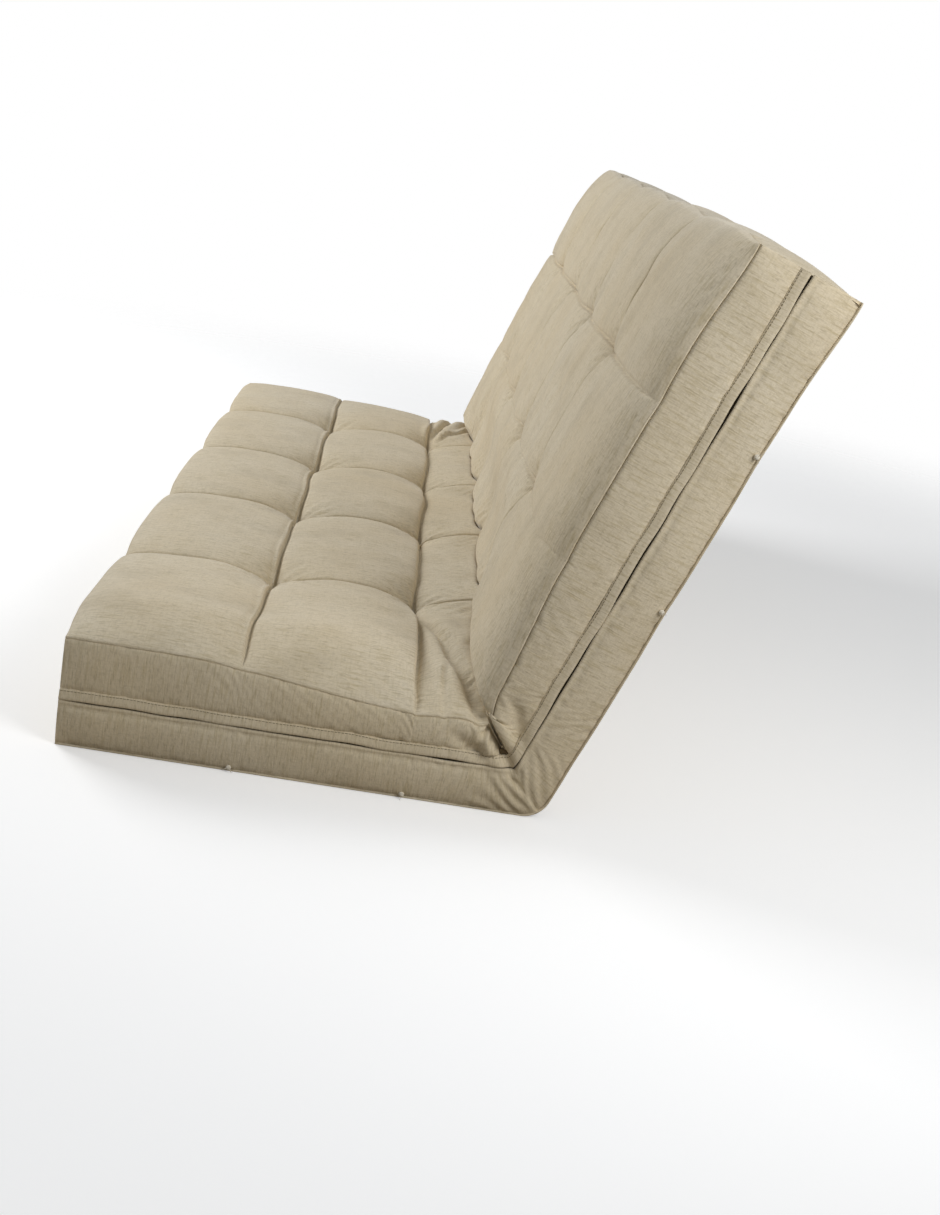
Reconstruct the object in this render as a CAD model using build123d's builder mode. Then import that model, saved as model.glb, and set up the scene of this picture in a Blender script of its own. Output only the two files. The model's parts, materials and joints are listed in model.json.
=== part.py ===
"""Full-size futon mattress, bent into its sofa shape: a seat half and a back half that fold about one line.

Row frame: +X along the 75 in length towards the zipped end, +Z up, -Y the side that the sitter faces.
The seat half lies on the plane Z = 0, with the origin at the middle of its underside. Millimetres throughout.
Each half is drawn in its own frame: y runs from the fold to the half's outer edge, z from underside to face.
"""
import os
from math import cos, radians, sin, tan

from build123d import *

# ---- the mattress laid flat -------------------------------------------------------------------
length = 1905.0          # 75 in, along the fold
width = 1371.6           # 54 in, across the fold
boxing = 150.0           # height of the side bands, seam to seam
seat_part = 616.6        # front edge to the fold
tuft_columns = 4         # tufts in each row along the length
cells_across = 6         # biscuits across the width, so the rows of tufts lie one cell apart

# ---- the fold ---------------------------------------------------------------------------------
fold_angle = 71.0        # from flat to the sofa shape, degrees
fold_height = 37.0       # neutral line of the bend, above the underside
fold_gap = 0.4           # each half stops this far short of the fold's planes

# ---- cover ------------------------------------------------------------------------------------
fabric = 2.0             # upholstery cloth with its backing
seat_valley = 137.0      # height of the sewn lines between biscuits, on the seat
back_valley = 156.0      # the same on the back, which is fuller
crown = 26.0             # rise of a biscuit above its sewn lines
crease_height = 128.0    # height of the face where it turns into the fold
dimple_radius = 34.0     # mouth of the pulled-in cone round a tuft
dimple_depth = 9.0       # how far a tuft is pulled below the sewn lines
dimple_floor = 7.0       # radius of the cone's floor

# ---- fill, from the underside up ----------------------------------------------------------------
bottom_batting = 24.0
lower_foam = 22.0
middle_batting = 41.0    # as deep as the space beside it that the zip lies in
upper_foam = 28.0

# ---- tufting ------------------------------------------------------------------------------------
twine_radius = 1.5
twine_clearance = 0.5    # round the twine, in every layer that it goes through
rosette_radius = 12.0
rosette_height = 3.6
cup_radius = 16.0        # pulled-in cup of the base panel round a rosette
cup_depth = 10.0
stitch_radius = 5.0
stitch_height = 1.6
tail_radius = 3.0
tail_length = 9.0

# ---- zip, along the near end ----------------------------------------------------------------------
zip_height = 68.0        # middle of the teeth, above the underside
zip_depth = 9.0          # middle of the teeth, inside the outer surface of the end
teeth_width = 2.8        # one row of teeth
teeth_thickness = 2.6
teeth_gap = 1.6          # between the rows, where the slider's post runs
tape_thickness = 0.8
tape_width = 15.6
hem_width = 7.0          # folded hem that the tape is sewn to
flap_width = 14.0        # doubled strip that laps over the teeth
flap_proud = 2.0         # the flap stands this far outside the bands
slit = 2.4               # between the flap's free edge and the lower band's rolled edge
roll_width = 5.0
channel_back = 13.4      # depth of the space that the zip and its slider run in
end_allowance = 14.0     # the zip stops this far short of the corner seam

# ---- slider ---------------------------------------------------------------------------------------
slider_length = 13.0
slider_width = 13.0
slider_plate = 1.2
slider_opening = 4.0     # between its plates
slot_opening = 2.0       # for the tapes
flange = 1.0
post_thickness = 0.8
post_length = 3.0
bail_width = 2.4
bail_height = 1.6
pull_length = 22.0
pull_width = 7.0
pull_thickness = 0.8
pull_hole = 3.2
pull_lift = 0.5          # air under the pull where it lies on the slider
park_gap = 1.0           # slider to end stop, when the zip is closed
stop_length = 3.0
stop_thickness = 3.4

# ---- worked out -------------------------------------------------------------------------------------
half_length = length / 2
back_part = width - seat_part
column_pitch = length / (tuft_columns + 1)
row_pitch = width / cells_across
columns = [-half_length + column_pitch * (i + 1) for i in range(tuft_columns)]
fold_slope = tan(radians(fold_angle / 2))
fold_y = seat_part / 2                       # the fold's place in the row frame
layer_tops = [fabric + bottom_batting]
layer_tops.append(layer_tops[-1] + lower_foam)
layer_tops.append(layer_tops[-1] + middle_batting)
layer_tops.append(layer_tops[-1] + upper_foam)
tape_top = zip_height + teeth_gap / 2 + teeth_width + tape_width
tape_bottom = zip_height - teeth_gap / 2 - teeth_width - tape_width
flap_bottom = zip_height - 2.0
flap_top = flap_bottom + flap_width
roll_top = flap_bottom - slit
hem_depth = zip_depth - tape_thickness / 2   # from the outer surface to the tape's near side


class Half:
    """One half of the mattress: its frame, its outer edge and its rows of tufts."""

    def __init__(self, name, plane, turn, depth, valley):
        self.name = name
        self.plane = plane
        self.turn = turn                     # +1 where the frame's x runs along row +X, -1 where it runs back
        self.depth = depth
        self.valley = valley
        self.tuft_floor = valley - dimple_depth
        self.face_low = min(self.tuft_floor, crease_height)

    @property
    def rows(self):
        """Distance of each row of tufts from the fold, nearest first."""
        found = [self.depth - row_pitch * (i + 1) for i in range(cells_across)]
        return sorted(y for y in found if y > cup_radius + fold_gap)

    @property
    def face_rows(self):
        """The rows whose tufts come out on the open face, clear of the fold."""
        return [y for y in self.rows if y > fold_edge(self.valley) + dimple_radius]

    @property
    def crease_rows(self):
        """The rows whose upper ends are shut inside the crease."""
        return [y for y in self.rows if y not in self.face_rows]

    def side_plane(self, row_x):
        """Plane across the length at row_x, with the half's y and z as its axes."""
        origin = self.plane.from_local_coords((self.turn * row_x, 0, 0))
        return Plane(origin=origin, x_dir=self.plane.y_dir, z_dir=self.plane.x_dir)

    def cross_plane(self):
        """Plane along the length at the fold, with the half's x and z as its axes."""
        return Plane(origin=self.plane.origin, x_dir=self.plane.x_dir, z_dir=-self.plane.y_dir)

    def place(self, row_x, y, z):
        """Location of a point of the half, turned with it."""
        return self.plane.location * Location((self.turn * row_x, y, z))

    def tufts(self, rows, z=0.0):
        """Locations over the tufts of these rows."""
        return [self.place(x, y, z) for y in rows for x in columns]


def fold_edge(z):
    """Where a half ends at the fold: square below the neutral line, on the bisecting plane above it."""
    return fold_gap + max(0.0, z - fold_height) * fold_slope


def make_halves():
    hinge = Vector(0, fold_y, fold_height)
    lean = radians(fold_angle)
    outward = Vector(0, sin(lean), -cos(lean))
    seat_plane = Plane(origin=(0, fold_y, 0), x_dir=(-1, 0, 0), z_dir=(0, 0, 1))
    back_plane = Plane(origin=hinge + outward * fold_height, x_dir=(1, 0, 0), z_dir=-outward)
    seat = Half("seat", seat_plane, -1, seat_part, seat_valley)
    back = Half("back", back_plane, 1, back_part, back_valley)
    return seat, back


def fold_corners(low, high):
    """Corners of a half's end at the fold, from the height low up to the height high."""
    corners = [(fold_edge(low), low)]
    if low < fold_height < high:
        corners.append((fold_edge(fold_height), fold_height))
    corners.append((fold_edge(high), high))
    return corners


def layer_outline(low, high, end):
    """Cross-section of a flat layer from the fold to its outer end."""
    return fold_corners(low, high) + [(end, high), (end, low)]


def prism(half, outline, x_from, x_to):
    """An outline in a half's y and z, carried along the length from x_from to x_to."""
    with BuildPart() as made:
        with BuildSketch(half.side_plane(x_from)):
            with BuildLine():
                Polyline(*outline, close=True)
            make_face()
        extrude(amount=(x_to - x_from) * half.turn)
    return made


def scallops(points, rise):
    """A run of arcs through the points, each rising above the middle of its chord."""
    for (x0, z0), (x1, z1) in zip(points, points[1:]):
        ThreePointArc((x0, z0), ((x0 + x1) / 2, (z0 + z1) / 2 + rise), (x1, z1))


def biscuit_block(half, drop, floor):
    """The space under a half's tufted face, lowered by drop, down to the height floor."""
    lip = crease_height - drop
    valley = half.valley - drop
    edge = boxing - drop
    across = [(fold_edge(lip), lip)] + [(y, valley) for y in half.face_rows] + [(half.depth, edge)]
    along = [(-half_length, edge)] + [(x, valley) for x in columns] + [(half_length, edge)]
    with BuildPart() as block:
        with BuildSketch(half.side_plane(-half_length)):
            with BuildLine():
                scallops(across, crown)
                Polyline(across[-1], (half.depth, floor), *fold_corners(floor, lip))
            make_face()
        extrude(amount=length * half.turn)
        with BuildSketch(half.cross_plane()):
            with BuildLine():
                scallops(along, crown)
                Polyline(along[-1], (half_length, floor), (-half_length, floor), along[0])
            make_face()
        extrude(amount=-half.depth, mode=Mode.INTERSECT)
        mouth = crown + dimple_depth
        spread = dimple_radius - dimple_floor
        with Locations(*half.tufts(half.face_rows, half.tuft_floor - drop)):
            Cone(dimple_floor, dimple_floor + spread * mouth / dimple_depth, mouth,
                 align=(Align.CENTER, Align.CENTER, Align.MIN), mode=Mode.SUBTRACT)
    return block


def tucked_under_face(half, strip):
    """A strip of an end, its upper edge trimmed to the underside of the face panel sewn over it."""
    with BuildPart() as band:
        add(strip.part)
        add(biscuit_block(half, fabric, 0).part, mode=Mode.INTERSECT)
    return band


def bore_twine_ways(half, rows, low, high):
    """Cuts the twines' ways through the sub-part being built."""
    with Locations(*half.tufts(rows, low)):
        Cylinder(twine_radius + twine_clearance, high - low,
                 align=(Align.CENTER, Align.CENTER, Align.MIN), mode=Mode.SUBTRACT)


# ---- cover ------------------------------------------------------------------------------------------
def face_panel(half):
    under = biscuit_block(half, fabric, half.face_low - 3 * fabric)
    over = biscuit_block(half, 0, half.face_low - 2 * fabric)
    with BuildPart() as panel:
        add(over.part)
        add(under.part, mode=Mode.SUBTRACT)
        bore_twine_ways(half, half.face_rows, half.tuft_floor - 2 * fabric, half.tuft_floor + 1)
    return panel


def base_panel(half):
    slab = prism(half, layer_outline(0, fabric, half.depth), -half_length, half_length)
    with BuildPart() as panel:
        add(slab.part)
        with Locations(*half.tufts(half.rows)):
            Cylinder(cup_radius, cup_depth, align=(Align.CENTER, Align.CENTER, Align.MIN))
        with Locations(*half.tufts(half.rows)):
            Cylinder(cup_radius - fabric, cup_depth - fabric,
                     align=(Align.CENTER, Align.CENTER, Align.MIN), mode=Mode.SUBTRACT)
        bore_twine_ways(half, half.rows, 0, cup_depth)
    return panel


def outer_band(half):
    """The band on the long outer edge: the seat's front, or the top of the back."""
    outline = [(half.depth - fabric, fabric), (half.depth, fabric),
               (half.depth, boxing + crown), (half.depth - fabric, boxing + crown)]
    return tucked_under_face(half, prism(half, outline, -half_length + fabric, half_length - fabric))


def far_band(half):
    outline = layer_outline(fabric, boxing + crown, half.depth)
    return tucked_under_face(half, prism(half, outline, -half_length, -half_length + fabric))


def near_upper_band(half):
    """The near end above the zip, with the folded hem that the upper tape is sewn to."""
    outline = layer_outline(flap_top, boxing + crown, half.depth)
    web = tucked_under_face(half, prism(half, outline, half_length - fabric, half_length))
    hem_low = tape_top - hem_width
    hem = prism(half, layer_outline(hem_low, tape_top, half.depth - fabric),
                half_length - hem_depth, half_length - fabric)
    with BuildPart() as band:
        add(web.part)
        add(hem.part)
    return band


def near_lower_band(half):
    """The near end below the zip, with its hem and the rolled edge that shows in the slit."""
    web = prism(half, layer_outline(fabric, roll_top, half.depth), half_length - fabric, half_length)
    hem = prism(half, layer_outline(tape_bottom, tape_bottom + hem_width, half.depth - fabric),
                half_length - hem_depth, half_length - fabric)
    roll = prism(half, layer_outline(roll_top - roll_width, roll_top, half.depth - fabric),
                 half_length - fabric, half_length + flap_proud / 2)
    with BuildPart() as band:
        add(web.part)
        add(hem.part)
        add(roll.part)
    return band


def zip_flap(half):
    outline = layer_outline(flap_bottom, flap_top, half.depth)
    return prism(half, outline, half_length - fabric, half_length + flap_proud)


# ---- fill -------------------------------------------------------------------------------------------
def flat_layer(half, low, high, near_end):
    slab = prism(half, layer_outline(low, high, half.depth - fabric), -half_length + fabric, near_end)
    rows = [y for y in half.rows if y > fold_edge(high) + twine_radius + twine_clearance]
    with BuildPart() as layer:
        add(slab.part)
        if low < cup_depth:
            with Locations(*half.tufts(half.rows)):
                Cylinder(cup_radius, cup_depth,
                         align=(Align.CENTER, Align.CENTER, Align.MIN), mode=Mode.SUBTRACT)
        bore_twine_ways(half, rows, low, high)
    return layer


def top_batting(half):
    """The crowned top layer, which gives the biscuits their shape."""
    low = layer_tops[3]
    block = biscuit_block(half, fabric, low)
    inside = prism(half, layer_outline(low - 1, boxing + crown, half.depth - fabric),
                   -half_length + fabric, half_length - fabric)
    with BuildPart() as layer:
        add(block.part)
        add(inside.part, mode=Mode.INTERSECT)
        bore_twine_ways(half, half.face_rows, low, half.tuft_floor)
    return layer


# ---- tufting ------------------------------------------------------------------------------------------
def tuft_twines(half):
    """The twines, which run through to the face, or up to the crease in the row that it hides."""
    low = cup_depth - fabric
    with BuildPart() as twines:
        with Locations(*half.tufts(half.face_rows, low)):
            Cylinder(twine_radius, half.tuft_floor - low, align=(Align.CENTER, Align.CENTER, Align.MIN))
        if half.crease_rows:
            with Locations(*half.tufts(half.crease_rows, low)):
                Cylinder(twine_radius, layer_tops[3] - low,
                         align=(Align.CENTER, Align.CENTER, Align.MIN))
    return twines


def tuft_stitches(half):
    with BuildPart() as stitches:
        with Locations(*half.tufts(half.face_rows, half.tuft_floor)):
            Cylinder(stitch_radius, stitch_height, align=(Align.CENTER, Align.CENTER, Align.MIN))
    return stitches


def tuft_rosettes(half):
    low = cup_depth - fabric - rosette_height
    with BuildPart() as rosettes:
        with Locations(*half.tufts(half.rows, low)):
            Cylinder(rosette_radius, rosette_height, align=(Align.CENTER, Align.CENTER, Align.MIN))
    return rosettes


def thread_tails(half):
    """The knotted ends of the sewn lines, at the near end just above the base seam."""
    with BuildPart() as tails:
        with Locations(*[half.place(half_length, y, 2 * tail_radius) for y in half.face_rows]):
            Cylinder(tail_radius, tail_length, rotation=(90, 0, 0))
        inside = [half.place(half_length, y, 2 * tail_radius) for y in half.face_rows]
        with Locations(*inside):
            Box(4 * tail_radius, 2 * tail_length, 4 * tail_radius,
                align=(Align.MAX if half.turn > 0 else Align.MIN, Align.CENTER, Align.CENTER),
                mode=Mode.SUBTRACT)
    return tails


# ---- zip ----------------------------------------------------------------------------------------------
def zip_run(half):
    """Outer end of the zip on a half."""
    return half.depth - end_allowance


def zip_strip(half, low, high, thickness):
    """A strip of the zip between two heights, centred on its depth in the end."""
    middle = half_length - zip_depth
    outline = layer_outline(low, high, zip_run(half))
    return prism(half, outline, middle - thickness / 2, middle + thickness / 2)


def upper_teeth(half):
    low = zip_height + teeth_gap / 2
    return zip_strip(half, low, low + teeth_width, teeth_thickness)


def lower_teeth(half):
    high = zip_height - teeth_gap / 2
    return zip_strip(half, high - teeth_width, high, teeth_thickness)


def upper_tape(half):
    low = zip_height + teeth_gap / 2 + teeth_width
    return zip_strip(half, low, tape_top, tape_thickness)


def lower_tape(half):
    high = zip_height - teeth_gap / 2 - teeth_width
    return zip_strip(half, tape_bottom, high, tape_thickness)


def end_stop(half):
    """The metal stop past the last tooth."""
    reach = teeth_gap / 2 + teeth_width
    low, high = zip_height - reach, zip_height + reach
    start = zip_run(half)
    outline = [(start, low), (start + stop_length, low), (start + stop_length, high), (start, high)]
    middle = half_length - zip_depth
    return prism(half, outline, middle - stop_thickness / 2, middle + stop_thickness / 2)


def slider_span(half):
    """The slider's two ends along the zip, parked beside the stop."""
    outer = zip_run(half) - park_gap
    return outer - slider_length, outer


def slider_box(half, y_from, y_to, z_from, z_to, x_from, x_to):
    """A block of the slider, its x measured outward from the middle of the teeth."""
    middle = half_length - zip_depth
    outline = [(y_from, z_from), (y_to, z_from), (y_to, z_to), (y_from, z_to)]
    return prism(half, outline, middle + x_from, middle + x_to)


def zip_slider(half):
    """Two plates, the flanges that hold the tapes in line, the post between the rows and the bail."""
    start, end = slider_span(half)
    low, high = zip_height - slider_width / 2, zip_height + slider_width / 2
    inner, outer = slider_opening / 2, slider_opening / 2 + slider_plate
    slot = slot_opening / 2
    blocks = [
        slider_box(half, start, end, low, high, inner, outer),
        slider_box(half, start, end, low, high, -outer, -inner),
        slider_box(half, end - post_length, end, zip_height - post_thickness / 2,
                   zip_height + post_thickness / 2, -inner, inner),
    ]
    for edge in (low, high - flange):
        blocks.append(slider_box(half, start, end, edge, edge + flange, slot, inner))
        blocks.append(slider_box(half, start, end, edge, edge + flange, -inner, -slot))
    for foot in (start + bail_width, end - 2 * bail_width):
        blocks.append(slider_box(half, foot, foot + bail_width, zip_height - bail_width / 2,
                                 zip_height + bail_width / 2, outer, outer + bail_height))
    blocks.append(slider_box(half, start + bail_width, end - bail_width, zip_height - bail_width / 2,
                             zip_height + bail_width / 2, outer + bail_height,
                             outer + bail_height + slider_plate / 2))
    with BuildPart() as slider:
        for block in blocks:
            add(block.part)
    return slider


def zip_pull(half):
    """Flat pull that lies along the zip under the flap, its hole round the bail's inner foot."""
    start = slider_span(half)[0]
    eye = start + 1.5 * bail_width
    low, high = zip_height - pull_width / 2, zip_height + pull_width / 2
    lift = slider_opening / 2 + slider_plate + pull_lift
    blade = slider_box(half, eye - pull_length, eye + pull_hole, low, high, lift, lift + pull_thickness)
    hole = slider_box(half, eye - pull_hole / 2, eye + pull_hole / 2, zip_height - pull_hole / 2,
                      zip_height + pull_hole / 2, lift - 1, lift + pull_thickness + 1)
    with BuildPart() as pull:
        add(blade.part)
        add(hole.part, mode=Mode.SUBTRACT)
    return pull


# ---- write the pieces -----------------------------------------------------------------------------------
def save(name, built):
    built.part.label = name
    export_step(built.part, f"parts/{name}.step")


def save_half(half):
    inner_end = half_length - fabric
    channel_end = half_length - channel_back
    save(f"{half.name}_face_panel", face_panel(half))
    save(f"{half.name}_base_panel", base_panel(half))
    save("seat_front_band" if half.name == "seat" else "back_top_band", outer_band(half))
    save(f"{half.name}_far_band", far_band(half))
    save(f"{half.name}_near_upper_band", near_upper_band(half))
    save(f"{half.name}_near_lower_band", near_lower_band(half))
    save(f"{half.name}_zip_flap", zip_flap(half))
    save(f"{half.name}_bottom_batting", flat_layer(half, fabric, layer_tops[0], inner_end))
    save(f"{half.name}_lower_foam", flat_layer(half, layer_tops[0], layer_tops[1], inner_end))
    save(f"{half.name}_middle_batting", flat_layer(half, layer_tops[1], layer_tops[2], channel_end))
    save(f"{half.name}_upper_foam", flat_layer(half, layer_tops[2], layer_tops[3], inner_end))
    save(f"{half.name}_top_batting", top_batting(half))
    save(f"{half.name}_tuft_twines", tuft_twines(half))
    save(f"{half.name}_tuft_stitches", tuft_stitches(half))
    save(f"{half.name}_tuft_rosettes", tuft_rosettes(half))
    save(f"{half.name}_thread_tails", thread_tails(half))
    save(f"{half.name}_zip_upper_teeth", upper_teeth(half))
    save(f"{half.name}_zip_lower_teeth", lower_teeth(half))
    save(f"{half.name}_zip_upper_tape", upper_tape(half))
    save(f"{half.name}_zip_lower_tape", lower_tape(half))
    save(f"{half.name}_zip_end_stop", end_stop(half))


os.makedirs("parts", exist_ok=True)
seat_half, back_half = make_halves()
for each_half in (seat_half, back_half):
    save_half(each_half)
save("zip_slider", zip_slider(seat_half))
save("zip_pull", zip_pull(seat_half))
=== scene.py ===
"""Futon mattress in its sofa shape: tufted cover, boxed sides, flapped zip and layered fill."""
import json
import math

import bpy
import numpy as np
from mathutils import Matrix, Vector


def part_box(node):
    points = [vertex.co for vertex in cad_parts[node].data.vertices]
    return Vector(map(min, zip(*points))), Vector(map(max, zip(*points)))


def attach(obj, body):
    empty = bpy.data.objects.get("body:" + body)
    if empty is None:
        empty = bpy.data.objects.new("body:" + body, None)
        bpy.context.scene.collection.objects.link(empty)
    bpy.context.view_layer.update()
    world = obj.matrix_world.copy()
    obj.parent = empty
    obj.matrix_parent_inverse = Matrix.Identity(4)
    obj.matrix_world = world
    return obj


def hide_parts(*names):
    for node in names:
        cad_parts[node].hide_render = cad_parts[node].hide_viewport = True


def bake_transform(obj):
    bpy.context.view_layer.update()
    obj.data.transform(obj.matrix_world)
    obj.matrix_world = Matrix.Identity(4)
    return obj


bl_info = {
    "name": "Futon mattress",
    "version": (1, 0, 0),
    "blender": (4, 5, 0),
    "location": "3D View > Sidebar > Futon",
    "description": "Dresses a folded full-size futon mattress",
    "category": "Object",
}

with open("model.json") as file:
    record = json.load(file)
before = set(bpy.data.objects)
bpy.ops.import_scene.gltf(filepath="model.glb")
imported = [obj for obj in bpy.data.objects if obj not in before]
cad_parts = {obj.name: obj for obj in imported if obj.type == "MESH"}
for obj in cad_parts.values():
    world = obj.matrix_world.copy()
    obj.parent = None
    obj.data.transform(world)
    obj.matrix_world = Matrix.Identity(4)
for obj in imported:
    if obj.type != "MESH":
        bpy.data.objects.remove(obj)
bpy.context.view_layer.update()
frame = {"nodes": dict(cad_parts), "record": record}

# ---- sizes read from the frame, in metres ------------------------------------------------------
JOINTS = {joint["name"]: joint for joint in frame["record"]["behaviour"]["joints"]}
FOLD_Y, FOLD_Z = JOINTS["fold"]["pos_m"][1:]
FOLD_ANGLE = math.radians(JOINTS["fold"]["range_deg"][1])
HALF_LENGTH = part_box("seat_base_panel")[1][0]
SEAT_DEPTH = FOLD_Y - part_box("seat_base_panel")[0][1]
WIDTH = 1.3716                       # 54 in, the cover's cut across the fold
BACK_DEPTH = WIDTH - SEAT_DEPTH
ROW_PITCH = WIDTH / 6                # 9 in between rows of tufts
COLUMN_PITCH = 2 * HALF_LENGTH / 5   # 15 in between tufts in a row
COLUMNS = [-HALF_LENGTH + COLUMN_PITCH * (i + 1) for i in range(4)]
FLAP_LOW, FLAP_HIGH = 0.066, 0.080   # the zip flap's edges above the underside
LEAN = FOLD_ANGLE / 2                # the bisecting plane's lean in each half's own frame
TURN = math.pi / 2 - LEAN            # from the flat face into the crease


COS_FOLD, SIN_FOLD = math.cos(FOLD_ANGLE), math.sin(FOLD_ANGLE)


# ---- small helpers -------------------------------------------------------------------------------
def smooth(x):
    x = np.clip(x, 0, 1)
    return x * x * (3 - 2 * x)


def bell(x, width):
    return np.exp(-(x / width) ** 2)


def arch(x, width):
    """A quarter round: 0 and upright at x = 0, 1 and level at width."""
    return np.sqrt(1 - (1 - np.clip(x / width, 0, 1)) ** 2)


def ripple(x, seed, low, high, count=5):
    """A smooth uneven wave of about unit height, made of sines with wavelengths between low and high."""
    rng = np.random.default_rng(seed)
    wave = sum(np.sin(2 * math.pi * x / rng.uniform(low, high) + rng.uniform(0, 6.28)) for _ in range(count))
    return wave / math.sqrt(count / 2) / 1.6


def offset(x, lines):
    """Signed distance of each x from the nearest of the lines."""
    away = x[..., None] - np.asarray(lines)
    return np.take_along_axis(away, np.argmin(np.abs(away), -1)[..., None], -1)[..., 0]


def nearest(x, lines):
    return np.abs(offset(x, lines))


def unit(vectors, least=0.0):
    """Vectors of length 1. least is for those that may be zero."""
    return vectors / (np.linalg.norm(vectors, axis=-1, keepdims=True) + least)


def distances(line):
    """How far along a line of points each of them lies."""
    return np.concatenate([[0], np.cumsum(np.linalg.norm(np.diff(line, axis=0), axis=-1))])


def spaced(low, high, lines, fine, coarse, reach=0.030):
    """Grid lines from low to high, close together beside the given lines and wider apart between them."""
    marks = [low] + sorted(x for x in lines if low < x < high) + [high]
    grid = []
    for a, b in zip(marks, marks[1:]):
        x = np.linspace(a, b, 400)
        density = 1 / (fine + (coarse - fine) * smooth(np.minimum(x - a, b - x) / reach))
        count = np.concatenate([[0], np.cumsum((density[1:] + density[:-1]) / 2 * np.diff(x))])
        share = np.linspace(0, count[-1], max(1, round(count[-1])) + 1)
        grid.append(np.interp(share, count, x)[:-1])
    return np.concatenate(grid + [[high]])


# ---- shape of the tufted face ------------------------------------------------------------------
SHOULDER = 0.150                     # height of the face seam
CREASE_FLOOR = 0.070                 # how near the fold's axis the cover reaches inside the crease
EDGE_IN = 0.0026                     # the sewn edge lies this far inside the box's sides
BISCUIT_U, BISCUIT_Q = 0.150, ROW_PITCH / 2   # from a line of tufts to where the biscuit is level


class Half:
    """One half of the mattress, with a frame of its own and the shape of its face.

    In its frame u runs along the length, y from the fold outward and z up from the underside. q is the
    distance from the fold along the face, unrolled, so it is y on the flat and goes on into the crease.
    """

    def __init__(self, name, depth, edge_in, out, up, side, roll, crown, tuft, ridge, crease_row, pit,
                 end_drops, seed):
        self.name, self.side, self.roll, self.seed = name, side, roll, seed
        self.out, self.up = np.array(out), np.array(up)      # its y and z in the mattress's frame
        self.crown, self.tuft = crown, tuft        # top of a biscuit and bottom of a tuft, over the face seam
        self.ridge = ridge           # share of that rise which the lines between tufts reach
        self.pit = pit               # how narrow the hollow round a tuft is
        self.end_drops = end_drops
        self.rows = [depth - ROW_PITCH, depth - 2 * ROW_PITCH]
        self.lines = self.rows + [crease_row]
        cut = roll * math.tan(TURN / 2)
        self.bend_start = (SHOULDER - FOLD_Z) * math.tan(LEAN) + cut
        self.bend_end = self.bend_start - roll * TURN
        self.inner = self.bend_end - ((SHOULDER - FOLD_Z) / math.cos(LEAN) - cut - CREASE_FLOOR)
        self.outer = depth - edge_in

    def to_row(self, local):
        """Points of this half in the mattress's frame."""
        u, y, z = local[..., 0], local[..., 1], local[..., 2]
        if self.name == "seat":
            return np.stack([u, FOLD_Y - y, z], -1)
        z = z - FOLD_Z
        return np.stack([u, FOLD_Y + y * COS_FOLD - z * SIN_FOLD, FOLD_Z + y * SIN_FOLD + z * COS_FOLD], -1)

    def to_local(self, points):
        """Points of the mattress's frame in this half's own."""
        u, y, z = points[..., 0], points[..., 1], points[..., 2]
        if self.name == "seat":
            return np.stack([u, FOLD_Y - y, z], -1)
        y, z = y - FOLD_Y, z - FOLD_Z
        return np.stack([u, y * COS_FOLD + z * SIN_FOLD, FOLD_Z - y * SIN_FOLD + z * COS_FOLD], -1)

    def path(self, q):
        """Points and outward normals of the plain face at unrolled distances q from the fold."""
        a = np.clip((self.bend_start - q) / self.roll, 0, TURN)
        down = np.maximum(self.bend_end - q, 0)
        y = np.where(q > self.bend_start, q, self.bend_start - self.roll * np.sin(a)) - down * math.sin(LEAN)
        z = SHOULDER - self.roll * (1 - np.cos(a)) - down * math.cos(LEAN)
        return y, z, -np.sin(a), np.cos(a)


# end_drops: at the ends the face comes down by each amount as q passes a place, downwards, over a distance
SEAT = Half("seat", SEAT_DEPTH, EDGE_IN, out=(0, -1.0, 0), up=(0, 0, 1.0), side=-1, roll=0.034, crown=0.025,
            tuft=-0.0225, ridge=0.76, crease_row=0.040, pit=3.0, seed=3,
            end_drops=((0.028, 0.480, 0.330), (-0.018, 0.088, 0.028)))
BACK = Half("back", BACK_DEPTH, 0.0085, out=(0, COS_FOLD, SIN_FOLD), up=(0, -SIN_FOLD, COS_FOLD), side=1,
            roll=0.060, crown=0.036, tuft=-0.0035, ridge=0.86, crease_row=BACK_DEPTH - 3 * ROW_PITCH, pit=5.0,
            seed=8, end_drops=((0.002, WIDTH, 0.1), (0.014, 0.33, 0.26), (0.009, 0.60, -0.14),
                               (-0.024, 0.084, 0.026)))
HALVES = (SEAT, BACK)


def parts_of(split):
    """Each half with its columns of a grid that passes from the seat to the back at split."""
    return (SEAT, slice(0, split)), (BACK, slice(split, None))


def line_strength(half, q):
    """How hard the lines along and across the rows are pulled in: on the back the upper ones show most."""
    if half is SEAT:
        return np.ones(q.shape), np.ones(q.shape)
    upper, lower = half.rows
    along_row = 0.30 + 0.70 * smooth((q - (upper + lower) / 2) / 0.08 + 0.5)
    across_rows = 0.22 + 0.95 * smooth((q - upper) / 0.10 + 0.6)
    return along_row, across_rows


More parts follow.
